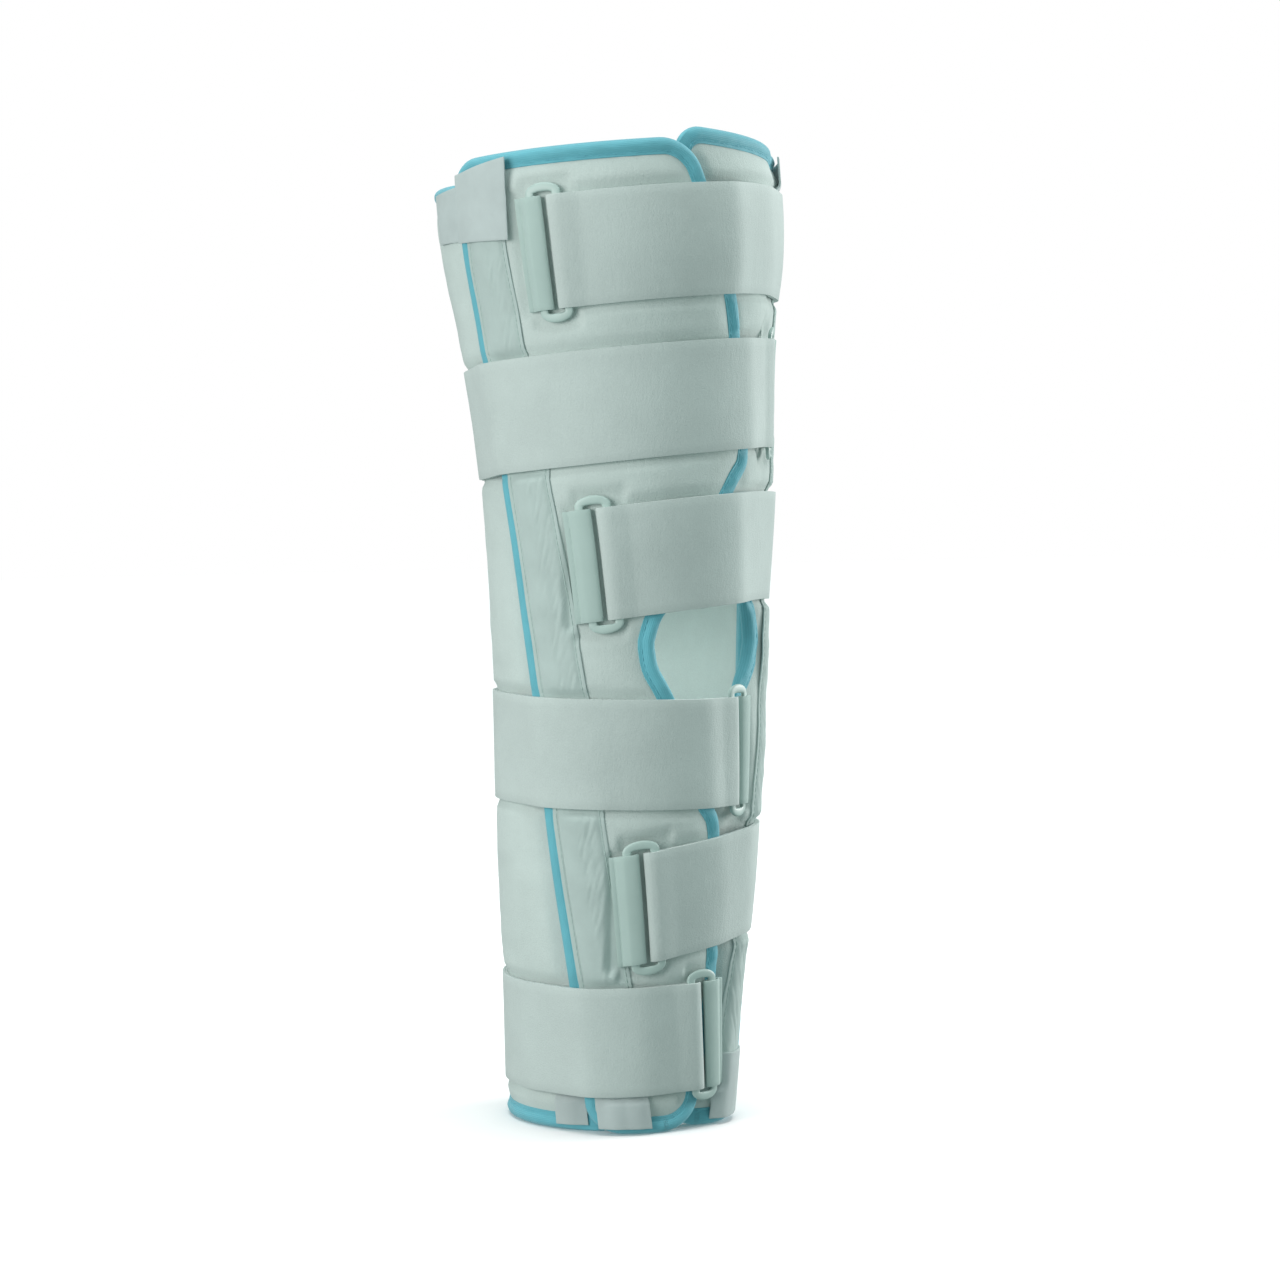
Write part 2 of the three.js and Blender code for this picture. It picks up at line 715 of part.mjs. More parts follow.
function ringPiece(frame, name) {
  const { strap, toOwn, at, bar_out } = frame;
  const straight = strap_width / 2 + ring_end_gap;
  const centre = [];
  [-90, -60, -30, 0, 30, 60, 90].forEach((turn) => {
    centre.push([bar_at * Math.sin(turn * DEGREE), straight + ring_arc_height * Math.cos(turn * DEGREE)]);
  });
  [-90, -60, -30, 0, 30, 60, 90].forEach((turn) => {
    centre.push([-bar_at * Math.sin(turn * DEGREE), -straight - ring_arc_height * Math.cos(turn * DEGREE)]);
  });
  const sections = centre.map((c, i) => {
    const before = centre[(i + centre.length - 1) % centre.length];
    const after = centre[(i + 1) % centre.length];
    const run = unit(after[0] - before[0], after[1] - before[1]);
    return [0, 60, 120, 180, 240, 300].map((turn) => {
      const side = (ring_bar_width / 2) * Math.cos(turn * DEGREE);
      const up = (ring_bar_thick / 2) * (Math.sin(turn * DEGREE) / Math.sin(60 * DEGREE));
      return at(strap.ring_angle + toOwn(c[0] + run[1] * side), c[1] - run[0] * side, bar_out + up);
    });
  });
  return sweep(name, ring_plastic, sections, true);
}

// A short webbing strip sewn flat on the panel, turned round the ring's rear bar and sewn down again.
function loopPiece(frame, name) {
  const { strap, toOwn, topUnder, bar_out } = frame;
  const round = turnRadii(loop_thick);
  const end_own = strap.ring_angle + toOwn(loop_reach);
  const tops = [0, -0.25, -0.5].map((back) => {
    const own = end_own + toOwn(back * loop_reach);
    return Math.max(...[-0.5, 0, 0.5].map((share) => topUnder(own, share * strap_width)));
  });
  const seat = Math.max(...tops) + gap;

  // Heights of the two straight layers above the bar's middle, and the turns at which they leave the
  // fold. The fold is an ellipse, so its turns are found as a circle's with the heights stretched.
  const end_along = loop_reach - bar_at;
  const lower = seat + loop_thick / 2 - bar_out;
  const upper = lower + loop_thick + fold_gap;
  const leave = (up, side) => {
    const stretched = (up * round.along) / round.out;
    const away = Math.hypot(end_along, stretched);
    return (Math.atan2(stretched, end_along) + side * Math.acos(Math.min(1, round.along / away))) / DEGREE;
  };
  const first_turn = -90 - leave(lower, -1);
  const last_turn = 270 - leave(upper, 1);
  const count = Math.ceil((last_turn - first_turn) / fold_step_angle);
  const bar_own = strap.ring_angle + toOwn(bar_at);
  const turns = steps(first_turn, last_turn, count).map((turn) => ({
    own: bar_own - toOwn(round.along * Math.sin(turn * DEGREE)),
    out: bar_out - round.out * Math.cos(turn * DEGREE),
  }));
  const path = [{ own: end_own, out: bar_out + lower }, ...turns, { own: end_own, out: bar_out + upper }];
  return sweep(name, webbing, ribbonSections(frame, path, loop_thick, strap_width), false);
}

const brace = new THREE.Group();
brace.name = 'knee_immobilizer';

panelPieces('back', backPlaces(), foam_cloth).forEach((piece) => brace.add(piece));
['left', 'right'].forEach((side) => {
  const sign = side_sign[side];
  panelPieces(side, sidePlaces(side), foam_cloth).forEach((piece) => brace.add(piece));

  const top = (side === 'left' ? left_top_rear_height : right_top_rear_height) - pocket_end_inset;
  const pocket_heights = steps(pocket_end_inset, top, 11);
  brace.add(patch(
    `${side}_stay_pocket`, pocket_cloth, sign, pocket_heights, pocketAngles, 4, pocketUnder(side), pocket_thick
  ));

  const top_tab = steps(...topTabHeights(side), 2);
  const bottom_tab = steps(...bottom_tab_heights, 2);
  const back_top_tab = steps(...back_top_tab_heights, 2);
  brace.add(patch(`${side}_top_tab`, tab_cloth, sign, top_tab, topTabAngles, 4, tabUnder(side), tab_thick));
  brace.add(patch(`${side}_bottom_tab`, tab_cloth, sign, bottom_tab, bottomTabAngles, 4, tabUnder(side), tab_thick));
  const back_name = `back_${side}`;
  brace.add(patch(
    `${back_name}_top_tab`, tab_cloth, sign, back_top_tab, backTopTabAngles, 4, backTabUnder, tab_thick
  ));
  brace.add(patch(
    `${back_name}_bottom_tab`, tab_cloth, sign, bottom_tab, backBottomTabAngles, 3, backTabUnder, tab_thick
  ));
});

straps.forEach((strap, i) => {
  const frame = strapFrame(strap);
  brace.add(strapPiece(frame, `strap_${i + 1}`));
  brace.add(ringPiece(frame, `ring_${i + 1}`));
  brace.add(loopPiece(frame, `ring_loop_${i + 1}`));
});

const bounds = new THREE.Box3().setFromObject(brace);
const middle = bounds.getCenter(new THREE.Vector3());
brace.children.forEach((piece) => piece.geometry.translate(-middle.x, -middle.y, -bounds.min.z));

export default brace;
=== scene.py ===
"""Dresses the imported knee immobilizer: padded panels, bound edges, straps, rings and sewn-on cloth.

Lengths are in millimetres and angles in degrees while a piece is shaped, and its mesh is in metres.
A place on the brace is an angle from the front, positive toward the left panel (-X), a height above
the foot, and an outward distance from the surface that touches the leg.
"""

import math

import bpy
import numpy as np
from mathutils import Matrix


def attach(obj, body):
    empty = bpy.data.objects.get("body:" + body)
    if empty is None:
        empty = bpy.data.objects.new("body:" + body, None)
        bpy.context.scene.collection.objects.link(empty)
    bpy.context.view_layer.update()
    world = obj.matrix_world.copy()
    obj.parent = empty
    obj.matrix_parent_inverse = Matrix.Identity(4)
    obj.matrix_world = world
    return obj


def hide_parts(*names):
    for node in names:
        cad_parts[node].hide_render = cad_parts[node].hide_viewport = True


bl_info = {
    "name": "Knee immobilizer",
    "version": (1, 0, 0),
    "blender": (4, 5, 0),
    "location": "3D View > Sidebar > Brace",
    "description": "Builds a padded knee immobilizer, its straps and its rings",
    "category": "Object",
}

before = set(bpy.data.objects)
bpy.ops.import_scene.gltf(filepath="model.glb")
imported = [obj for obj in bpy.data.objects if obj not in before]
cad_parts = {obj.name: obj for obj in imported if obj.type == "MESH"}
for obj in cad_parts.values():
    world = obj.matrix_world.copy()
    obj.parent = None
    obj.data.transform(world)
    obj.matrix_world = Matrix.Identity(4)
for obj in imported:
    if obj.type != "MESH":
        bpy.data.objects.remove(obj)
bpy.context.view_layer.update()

# Leg space.
BRACE_HEIGHT = 457.0
THIGH_RADIUS = 70.6
CALF_RADIUS = 44.2
THIGH_SETBACK = 11.0

# Panels.
FOAM_EDGE_THICK = 2.6
LEFT_TOP_REAR = 441.0
LEFT_TOP_FRONT = 451.0
RIGHT_TOP_REAR = 450.0
BACK_TOP = LEFT_TOP_REAR - 9
CORNER_RADIUS = 13.0
REAR_LAP = 20.0
LAP_CLIMB = 24.0
KNEE_HEIGHT = 222.0
KNEE_CUT_HEIGHT = 158.0
KNEE_CUT_DEPTH = 43.0

# Bound edges.
BINDING_WALL = 1.0
BINDING_BAND = 6.6
GAP = 0.35
BINDING_GAP = 0.62
LAP_GAP = 0.65

# Sewn-on cloth.
POCKET_WIDTH = 24.5
PIPING_SHOW = 5.5
POCKET_END_INSET = 10.0
TOP_TAB_WIDTH = 32.0
TOP_TAB_LENGTH = 34.0
TOP_TAB_INSET = 2.5
BOTTOM_TAB_WIDTH = 24.0
BOTTOM_TAB_LENGTH = 30.0
BOTTOM_TAB_INSET = 6.0
BACK_TOP_TAB_WIDTH = 32.0
BACK_BOTTOM_TAB_WIDTH = 17.0
TAB_EDGE_INSET = 3.0
TOP_TAB_DROP = 3.5
BACK_TAB_GAP = 0.7
BACK_TAB_RISE = 1.5

# Straps and rings.
STRAP_WIDTH = 50.0
STRAP_START = 170.0
STRAP_END_GAP = 24.0
RING_BAR_WIDTH = 3.6
RING_SLOT = 8.4
RING_END_GAP = 1.2
RING_ARC = 2.6
LOOP_REACH = 14.0
LOOP_THICK = 1.0
LOOP_SEAM_INSET = 2.4
LOOP_SEAM_DEPTH = 0.28
STRAP_CLEARANCE = 0.1

# Padding, seams and cloth thicknesses.
FOAM_RISE_START = 5.4
FOAM_RISE = 13.0
FOAM_ROUNDNESS = 2.4
INNER_SWELL = 2.4
BINDING_SEAM_INSET = 5.0
BINDING_CLOTH = 0.85
POCKET_SEAM_INSET = 2.0
POCKET_CLOTH = 0.7
TAB_CLOTH = 0.9
CLOTH_ROUNDING = 0.2
THREAD_RADIUS = 0.24

# Columns and rows of the panels, the bindings and their seams.
PANEL_GRID = {"back": (150, 200), "left": (84, 210), "right": (84, 210)}
BINDING_GRID = {"back": (120, 160), "left": (60, 180), "right": (60, 180)}
SEAM_GRID = {"back": (150, 200), "left": (70, 200), "right": (70, 200)}

# Viewpoint: place in metres, tilt and turn in degrees, focal length.
CAMERA_AT = (-0.8515, -1.2373, 0.3018)
CAMERA_TILT = 87
CAMERA_TURN = -35
CAMERA_LENS = 90

EDGE_INSET = BINDING_WALL + GAP
BINDING_HALF = FOAM_EDGE_THICK / 2 + BINDING_GAP + BINDING_WALL
BACK_MIDDLE = BINDING_HALF
LAPPED_MIDDLE = BACK_MIDDLE + 2 * BINDING_HALF + LAP_GAP
BAR_AT = RING_SLOT / 2 + RING_BAR_WIDTH / 2

# Share of the height, girth from calf (0) to thigh (1), share of the thigh's setback.
LEG_SECTIONS = [
    (0.00, 0.00, 0.00),
    (0.13, 0.09, -0.17),
    (0.26, 0.24, -0.35),
    (0.45, 0.36, -0.56),
    (0.57, 0.46, -0.56),
    (0.69, 0.61, -0.34),
    (0.79, 0.78, 0.16),
    (0.88, 1.03, 0.44),
    (0.93, 1.09, 0.70),
    (1.00, 1.11, 1.15),
]

# Share of the height, left panel's front edge, right panel's front edge, rear edge of both.
SIDE_EDGES = [
    (0.000, -6.0, -3.0, 47.5),
    (0.035, -9.0, -4.0, 49.5),
    (0.150, -17.0, -6.0, 57.0),
    (0.320, -12.5, -6.0, 68.0),
    (0.440, -16.5, 2.0, 74.0),
    (0.540, -17.5, 6.0, 79.5),
    (0.660, -21.5, -6.0, 85.0),
    (0.700, -21.5, -6.3, 86.0),
    (0.790, -15.0, -7.0, 87.5),
    (0.840, -10.0, -8.0, 87.5),
    (0.940, 2.0, -9.0, 87.5),
    (1.000, 8.0, -9.0, 88.0),
]

# Share of the half height from the knee cut's middle, share of its depth.
KNEE_CUT_SHAPE = [
    (0.00, 1.00),
    (0.12, 0.95),
    (0.24, 0.82),
    (0.48, 0.56),
    (0.72, 0.34),
    (0.90, 0.17),
    (1.00, 0.04),
    (1.10, 0.00),
]

# Height share, rise at the front and on the right, side of the ring, ring angle, lean.
STRAPS = [
    (0.874, 0.12, 0.12, 1, 52.5, 0.03),
    (0.722, 0.11, 0.11, -1, 50.0, 0.07),
    (0.566, 0.14, 0.11, 1, 42.7, 0.10),
    (0.381, 0.00, -0.02, -1, 25.8, 0.11),
    (0.227, 0.10, 0.16, 1, 23.8, 0.10),
    (0.096, 0.00, 0.03, -1, 7.8, 0.11),
]

SIDES = {"left": 1, "right": -1}
TOP_REAR = {"left": LEFT_TOP_REAR, "right": RIGHT_TOP_REAR}
TOP_FRONT = {"left": LEFT_TOP_FRONT, "right": BRACE_HEIGHT}
DEGREE = math.pi / 180


def ease(share):
    t = np.clip(share, 0, 1)
    return t * t * (3 - 2 * t)


def curve(rows, column):
    """Smooth value of a table's column over its first one, with no overshoot between rows."""
    at = np.array([row[0] for row in rows])
    values = np.array([row[column] for row in rows])
    rise = np.diff(values) / np.diff(at)
    slope = np.zeros_like(values)
    slope[0], slope[-1] = rise[0], rise[-1]
    for i in range(1, len(rows) - 1):
        if rise[i - 1] * rise[i] > 0:
            slope[i] = 2 * rise[i - 1] * rise[i] / (rise[i - 1] + rise[i])

    def value(x):
        x = np.clip(x, at[0], at[-1])
        i = np.clip(np.searchsorted(at, x, side="right") - 1, 0, len(at) - 2)
        span = at[i + 1] - at[i]
        t = (x - at[i]) / span
        before = (2 * t**3 - 3 * t**2 + 1) * values[i] + (t**3 - 2 * t**2 + t) * span * slope[i]
        after = (3 * t**2 - 2 * t**3) * values[i + 1] + (t**3 - t**2) * span * slope[i + 1]
        return before + after

    return value


girth_at = curve(LEG_SECTIONS, 1)
set_at = curve(LEG_SECTIONS, 2)
left_front_at = curve(SIDE_EDGES, 1)
right_front_at = curve(SIDE_EDGES, 2)
rear_at = curve(SIDE_EDGES, 3)
cut_at = curve(KNEE_CUT_SHAPE, 1)


def leg_radius(height):
    return CALF_RADIUS + (THIGH_RADIUS - CALF_RADIUS) * girth_at(height / BRACE_HEIGHT)


# The stored part stands with its box's middle on the origin, this far from the foot's middle.
SHIFT = (2.1101, 3.3655)


def place(angle, height, out):
    """Points in metres for angles, heights and outward distances."""
    angle, height, out = np.broadcast_arrays(
        np.asarray(angle, float), np.asarray(height, float), np.asarray(out, float)
    )
    radius = leg_radius(height) + out
    turn = angle * DEGREE
    x = -radius * np.sin(turn) - SHIFT[0]
    y = THIGH_SETBACK * set_at(height / BRACE_HEIGHT) - radius * np.cos(turn) - SHIFT[1]
    return np.stack([x, y, height], axis=-1) / 1000


def to_angle(length, height, out):
    return length / (leg_radius(height) + out) / DEGREE


def rear_angle(height):
    return rear_at(height / BRACE_HEIGHT)


def front_angle(side, height):
    table = left_front_at if side == "left" else right_front_at
    from_middle = np.abs(height - KNEE_HEIGHT) / (KNEE_CUT_HEIGHT / 2)
    cut = to_angle(KNEE_CUT_DEPTH * cut_at(from_middle), height, LAPPED_MIDDLE)
    return table(height / BRACE_HEIGHT) + cut


def lap_angle(height):
    return to_angle(REAR_LAP, height, LAPPED_MIDDLE)


def panel_middle(piece, own, height):
    """Outward distance of a panel's middle surface."""
    if piece == "back":
        return np.full(np.shape(own), BACK_MIDDLE)
    if piece == "left":
        return np.full(np.shape(own), LAPPED_MIDDLE)
    climb_end = rear_angle(height) - lap_angle(height)
    covered = -left_front_at(height / BRACE_HEIGHT)
    climb_start = np.maximum(covered, climb_end - to_angle(LAP_CLIMB, height, LAPPED_MIDDLE))
    share = ease((own - climb_start) / (climb_end - climb_start))
    return BACK_MIDDLE + (LAPPED_MIDDLE - BACK_MIDDLE) * share


def strap_line(strap, angle):
    """Height of a strap's middle line at an angle from the front."""
    share, front, right = strap[:3]
    turn = angle * DEGREE
    return BRACE_HEIGHT * share + STRAP_WIDTH * (front * np.cos(turn) - right * np.sin(turn))


def pressed(angle, height):
    """How far the cloth is pressed down by a strap: 1 under it, 0 away from it."""
    soft = bpy.context.scene.brace_sizes.press_reach
    best = np.full(np.shape(angle), 1e9)
    for strap in STRAPS:
        sign, ring = strap[3], strap[4]
        radius = leg_radius(BRACE_HEIGHT * strap[0]) + LAPPED_MIDDLE
        start = ring - 360 + STRAP_START
        own = (sign * angle - start) % 360 + start
        to_ring = (own - ring) * DEGREE * radius - LOOP_REACH
        to_start = (start + 360 - own) * DEGREE * radius
        along = np.maximum(0, np.minimum(to_ring, to_start))
        across = np.maximum(0, np.abs(height - strap_line(strap, angle)) - STRAP_WIDTH / 2 - 0.8)
        best = np.minimum(best, np.hypot(along, across))
        # The ring's rounded ends reach past the strap's edges.
        beside = np.maximum(0, np.abs(own - ring) * DEGREE * radius - BAR_AT - RING_BAR_WIDTH)
        beyond = np.maximum(0, across - RING_END_GAP - RING_ARC - RING_BAR_WIDTH / 2)
        best = np.minimum(best, np.hypot(beside, beyond))
    return 1 - ease(best / soft)


def ripple(s, h, length, seed):
    """Smooth uneven waves between about -1 and 1, some length apart."""
    rng = np.random.default_rng(seed)
    total = 0
    for _ in range(7):
        turn = rng.uniform(0, math.pi)
        wave = 2 * math.pi / (length * rng.uniform(0.7, 1.6))
        total = total + np.sin(wave * (s * math.cos(turn) + h * math.sin(turn)) + rng.uniform(0, 6.28))
    return total / 3.4


def smoothed(values, width):
    """Values evened out over an odd number of neighbours."""
    kernel = np.hanning(width)
    kernel /= kernel.sum()
    return np.convolve(np.pad(values, width // 2, mode="edge"), kernel, mode="valid")


def dip(distance, width):
    """1 at no distance, falling off on both sides."""
    return np.exp(-((distance / width) ** 2))


def deselect_all():
    if bpy.context.object and bpy.context.object.mode != "OBJECT":
        bpy.ops.object.mode_set(mode="OBJECT")
    bpy.ops.object.select_all(action="DESELECT")


def edit_all(piece, operation, **settings):
    """Runs a mesh operation on all of a piece."""
    deselect_all()
    piece.select_set(True)
    bpy.context.view_layer.objects.active = piece
    bpy.ops.object.mode_set(mode="EDIT")
    bpy.ops.mesh.select_all(action="SELECT")
    operation(**settings)
    bpy.ops.object.mode_set(mode="OBJECT")


def weld(piece, distance):
    """Joins a sheet's points where its edges meet."""
    edit_all(piece, bpy.ops.mesh.remove_doubles, threshold=distance)


def flat_sheet(name, columns, rows, thicken=False):
    """A flat sheet one unit square, with its back a unit below it when it is thickened."""
    deselect_all()
    bpy.ops.mesh.primitive_grid_add(
        x_subdivisions=columns, y_subdivisions=rows, size=1, location=(0.5, 0.5, 0)
    )
    sheet = bpy.context.object
    sheet.name = name
    sheet.data.name = name
    bpy.ops.object.transform_apply(location=True, rotation=True, scale=True)
    if thicken:
        edit_all(sheet, bpy.ops.mesh.extrude_region_move, TRANSFORM_OT_translate={"value": (0, 0, 1)})
    return sheet


def flat_places(sheet):
    count = len(sheet.data.vertices)
    flat = np.empty(count * 3)
    sheet.data.vertices.foreach_get("co", flat)
    return flat.reshape(count, 3)


def wrap(sheet, places, cloth=None):
    """Moves a sheet's points to their places, and lays its cloth out flat in a UV map in metres."""
    sheet.data.vertices.foreach_set("co", np.ascontiguousarray(places, dtype=float).ravel())
    if cloth is not None:
        corners = np.empty(len(sheet.data.loops), dtype=int)
        sheet.data.loops.foreach_get("vertex_index", corners)
        layer = sheet.data.uv_layers.active or sheet.data.uv_layers.new(name="cloth")
        layer.data.foreach_set("uv", (np.asarray(cloth, dtype=float)[corners] / 1000).ravel())
    sheet.data.update()


def finish_mesh(piece, sharp=35):
    """Faces out, smooth shading, and every modifier applied."""
    edit_all(piece, bpy.ops.mesh.normals_make_consistent, inside=False)
    for modifier in list(piece.modifiers):
        bpy.ops.object.modifier_apply(modifier=modifier.name)
    bpy.ops.object.shade_smooth_by_angle(angle=math.radians(sharp))


def thicken_cloth(piece, thick, rounding):
    solid = piece.modifiers.new("cloth thickness", "SOLIDIFY")
    solid.thickness = thick / 1000
    solid.offset = 0
    solid.use_even_offset = False
    bevel = piece.modifiers.new("soft edge", "BEVEL")
    bevel.width = rounding / 1000
    bevel.segments = 2
    bevel.limit_method = "ANGLE"
    bevel.angle_limit = math.radians(50)


def place_piece(piece, material, slot, *nodes):
    """Gives a finished piece its material and its place in the frame."""
    piece.data.materials.clear()
    piece.data.materials.append(material)
    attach(piece, "root")
    if nodes:
        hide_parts(*nodes)


def spread(share, ends, length, fine):
    """Positions along a length from shares of it, with points closer together near both ends.

    ends is the length of each fine end, and fine the share of the points that each end takes."""
    low = share / fine * ends
    high = length - (1 - share) / fine * ends
    middle = ends + (share - fine) / (1 - 2 * fine) * (length - 2 * ends)
    return np.where(share < fine, low, np.where(share > 1 - fine, high, middle))


# Panels.


def corner_inset(rise):
    drop = np.clip(CORNER_RADIUS - rise, 0, CORNER_RADIUS)
    return CORNER_RADIUS - np.sqrt(np.maximum(0, CORNER_RADIUS**2 - drop**2))


def row_level(v, foot, head):
    """Level of a row: quarter turns through both corners, even steps between."""
    fine = 0.06
    turn = np.clip(v / fine, 0, 1) * 90 * DEGREE
    low = CORNER_RADIUS * (1 - np.cos(turn))
    turn = np.clip((1 - v) / fine, 0, 1) * 90 * DEGREE
    high = CORNER_RADIUS * (1 - np.cos(turn))
    middle = np.clip((v - fine) / (1 - 2 * fine), 0, 1)
    straight = foot + CORNER_RADIUS + middle * (head - foot - 2 * CORNER_RADIUS)
    return np.where(v <= fine, foot + low, np.where(v >= 1 - fine, head - high, straight))


def panel_places(piece, u, v):
    """Own angle and height of a panel's foam at shares of its width and height."""
    foot = EDGE_INSET
    if piece == "back":
        head = BACK_TOP - EDGE_INSET
        level = row_level(v, foot, head)
        start = rear_angle(level) - lap_angle(level) + to_angle(EDGE_INSET, level, BACK_MIDDLE)
        end = 360 - start
        tilt = 0
    else:
        top = (TOP_REAR[piece] + TOP_FRONT[piece]) / 2
        head = top - EDGE_INSET
        level = row_level(v, foot, head)
        start = front_angle(piece, level) + to_angle(EDGE_INSET, level, LAPPED_MIDDLE)
        end = rear_angle(level) - to_angle(EDGE_INSET, level, LAPPED_MIDDLE)
        tilt = (TOP_REAR[piece] - TOP_FRONT[piece]) / top
    inset = corner_inset(level - foot) + corner_inset(head - level)
    drawn = to_angle(inset, level, BACK_MIDDLE)
    across = leg_radius(level) + BACK_MIDDLE
    length = (end - start - 2 * drawn) * DEGREE * across
    ends = np.minimum(14, length * 0.3)
    own = start + drawn + spread(u, ends, length, 0.16 if piece != "back" else 0.09) / across / DEGREE
    share = (own - start) / (end - start)
    height = foot + (level - foot) * (1 + tilt * (share - 0.5))
    return own, height


def flat_point(own, height):
    return np.stack([own * DEGREE * (leg_radius(height) + LAPPED_MIDDLE), height], axis=-1)


def panel_outline(piece, columns, rows):
    """Own angles and heights round a panel, from its foot at the front edge."""
    u = np.linspace(0, 1, columns + 1)
    v = np.linspace(0, 1, rows + 1)
    us = np.concatenate([u[:-1], np.ones(rows), u[:0:-1], np.zeros(rows)])
    vs = np.concatenate([np.zeros(columns), v[:-1], np.ones(columns), v[:0:-1]])
    return panel_places(piece, us, vs)


def edge_distance(own, height, loop):
    points = flat_point(own, height)
    a = flat_point(*loop)
    b = np.roll(a, -1, axis=0)
    run = b - a
    length = np.maximum(1e-9, (run**2).sum(axis=1))
    best = np.empty(len(points))
    for start in range(0, len(points), 2000):
        p = points[start : start + 2000, None, :]
        t = np.clip(((p - a) * run).sum(axis=2) / length, 0, 1)
        away = p - a - t[..., None] * run
        best[start : start + 2000] = np.sqrt((away**2).sum(axis=2).min(axis=1))
    return best


def uncovered(piece, own, height):
    """1 where a panel's outer side is free to swell, 0 where another panel lies on it."""
    if piece == "back":
        turn = np.minimum(own, 360 - own)
        past = (turn - rear_angle(height)) * DEGREE * (leg_radius(height) + BACK_MIDDLE)
        return ease((past - 1) / 9)
    if piece == "right":
        past = (own + left_front_at(height / BRACE_HEIGHT)) * DEGREE * (leg_radius(height) + BACK_MIDDLE)
        return ease((past - 1) / 9)
    return np.ones(np.shape(own))


def covered_share(piece, own, height):
    """1 where a strap or another panel presses on a panel's outer side, 0 where nothing does."""
    press = pressed(SIDES.get(piece, 1) * own, height)
    return 1 - (1 - press) * uncovered(piece, own, height)


def foam_outside(piece, own, height, distance):
    """Outward distance of a panel's outer cloth from its middle surface."""
    sizes = bpy.context.scene.brace_sizes
    edge = FOAM_EDGE_THICK / 2
    rise = 1 - (1 - np.clip((distance - FOAM_RISE_START) / FOAM_RISE, 0, 1)) ** FOAM_ROUNDNESS
    free = edge + (sizes.foam_swell - edge) * rise
    loose = 1 - covered_share(piece, own, height)
    s = own * DEGREE * leg_radius(height)
    seed = {"left": 3, "right": 5, "back": 8}[piece]
    folds = ripple(s, height, 46, seed) * 0.3 + ripple(s * 0.6, height * 1.5, 17, seed + 1) * 0.14
    return sizes.foam_pressed + (free - sizes.foam_pressed) * loose + folds * rise * loose


def tape_top(distance, covered):
    """Outward distance of the folded tape's outer side, lowered where something presses on it."""
    free = np.interp(
        distance,
        [-0.9, -0.5, 0.4, 1.4, 2.6, 3.8, 4.7, 5.4, 6.6],
        [0.4, 1.9, 2.8, 3.25, 3.3, 2.85, 2.2, 2.15, 2.1],
    )
    return free - np.maximum(0, free - 1.65) * covered


def panel_surface(piece, own, height, distance):
    """Outward distance of a panel's outer side, tape and foam, from its middle surface."""
    tape = tape_top(distance, covered_share(piece, own, height))
    tape = np.where(distance < BINDING_BAND + 0.3, tape, 0)
    return np.maximum(tape, foam_outside(piece, own, height, distance))


def make_panel(piece):
    sheet = flat_sheet(f"{piece}_foam_panel", *PANEL_GRID[piece], thicken=True)
    flat = flat_places(sheet)
    own, height = panel_places(piece, flat[:, 0], flat[:, 1])
    loop = panel_outline(piece, 90, 200)
    distance = edge_distance(own, height, loop)
    outer = flat[:, 2] > 0.5
    middle = panel_middle(piece, own, height)
    edge = FOAM_EDGE_THICK / 2
    inner_half = edge + (INNER_SWELL - edge) * np.clip((distance - 6) / 8, 0, 1)
    out = np.where(outer, middle + foam_outside(piece, own, height, distance), middle - inner_half)
    wrap(sheet, place(SIDES.get(piece, 1) * own, height, out), flat_point(own, height))
    finish_mesh(sheet, 60)
    return sheet


def binding_section(v):
    """Distances inward from the foam's edge and outward from the middle, across a folded tape.

    Its outer side swells into a roll between the edge and its seam, and its inner side lies flat."""
    knots = np.array([0.0, 0.07, 0.13, 0.19, 0.27, 0.35, 0.42, 0.48, 0.54, 0.6, 0.68, 1.0])
    inward = np.interp(v, knots, [6.6, 5.5, 4.8, 3.9, 2.6, 1.3, 0.3, -0.6, -0.85, -0.5, 0.8, 6.6])
    outward = np.interp(v, knots, [1.7, 1.72, 1.75, 2.35, 2.87, 2.82, 2.35, 1.2, 0.0, -1.4, -2.2, -2.35])
    return inward, outward


def outline_frame(piece, columns, rows):
    """Own angles, heights, inward directions and distance run, round a panel's edge."""
    own, height = panel_outline(piece, columns, rows)
    points = flat_point(own, height)
    tangent = np.roll(points, -2, axis=0) - np.roll(points, 2, axis=0)
    tangent /= np.linalg.norm(tangent, axis=1)[:, None]
    inward = np.stack([-tangent[:, 1], tangent[:, 0]], axis=-1)
    run = np.concatenate([[0], np.cumsum(np.linalg.norm(np.diff(points, axis=0), axis=1))])
    return own, height, inward, run


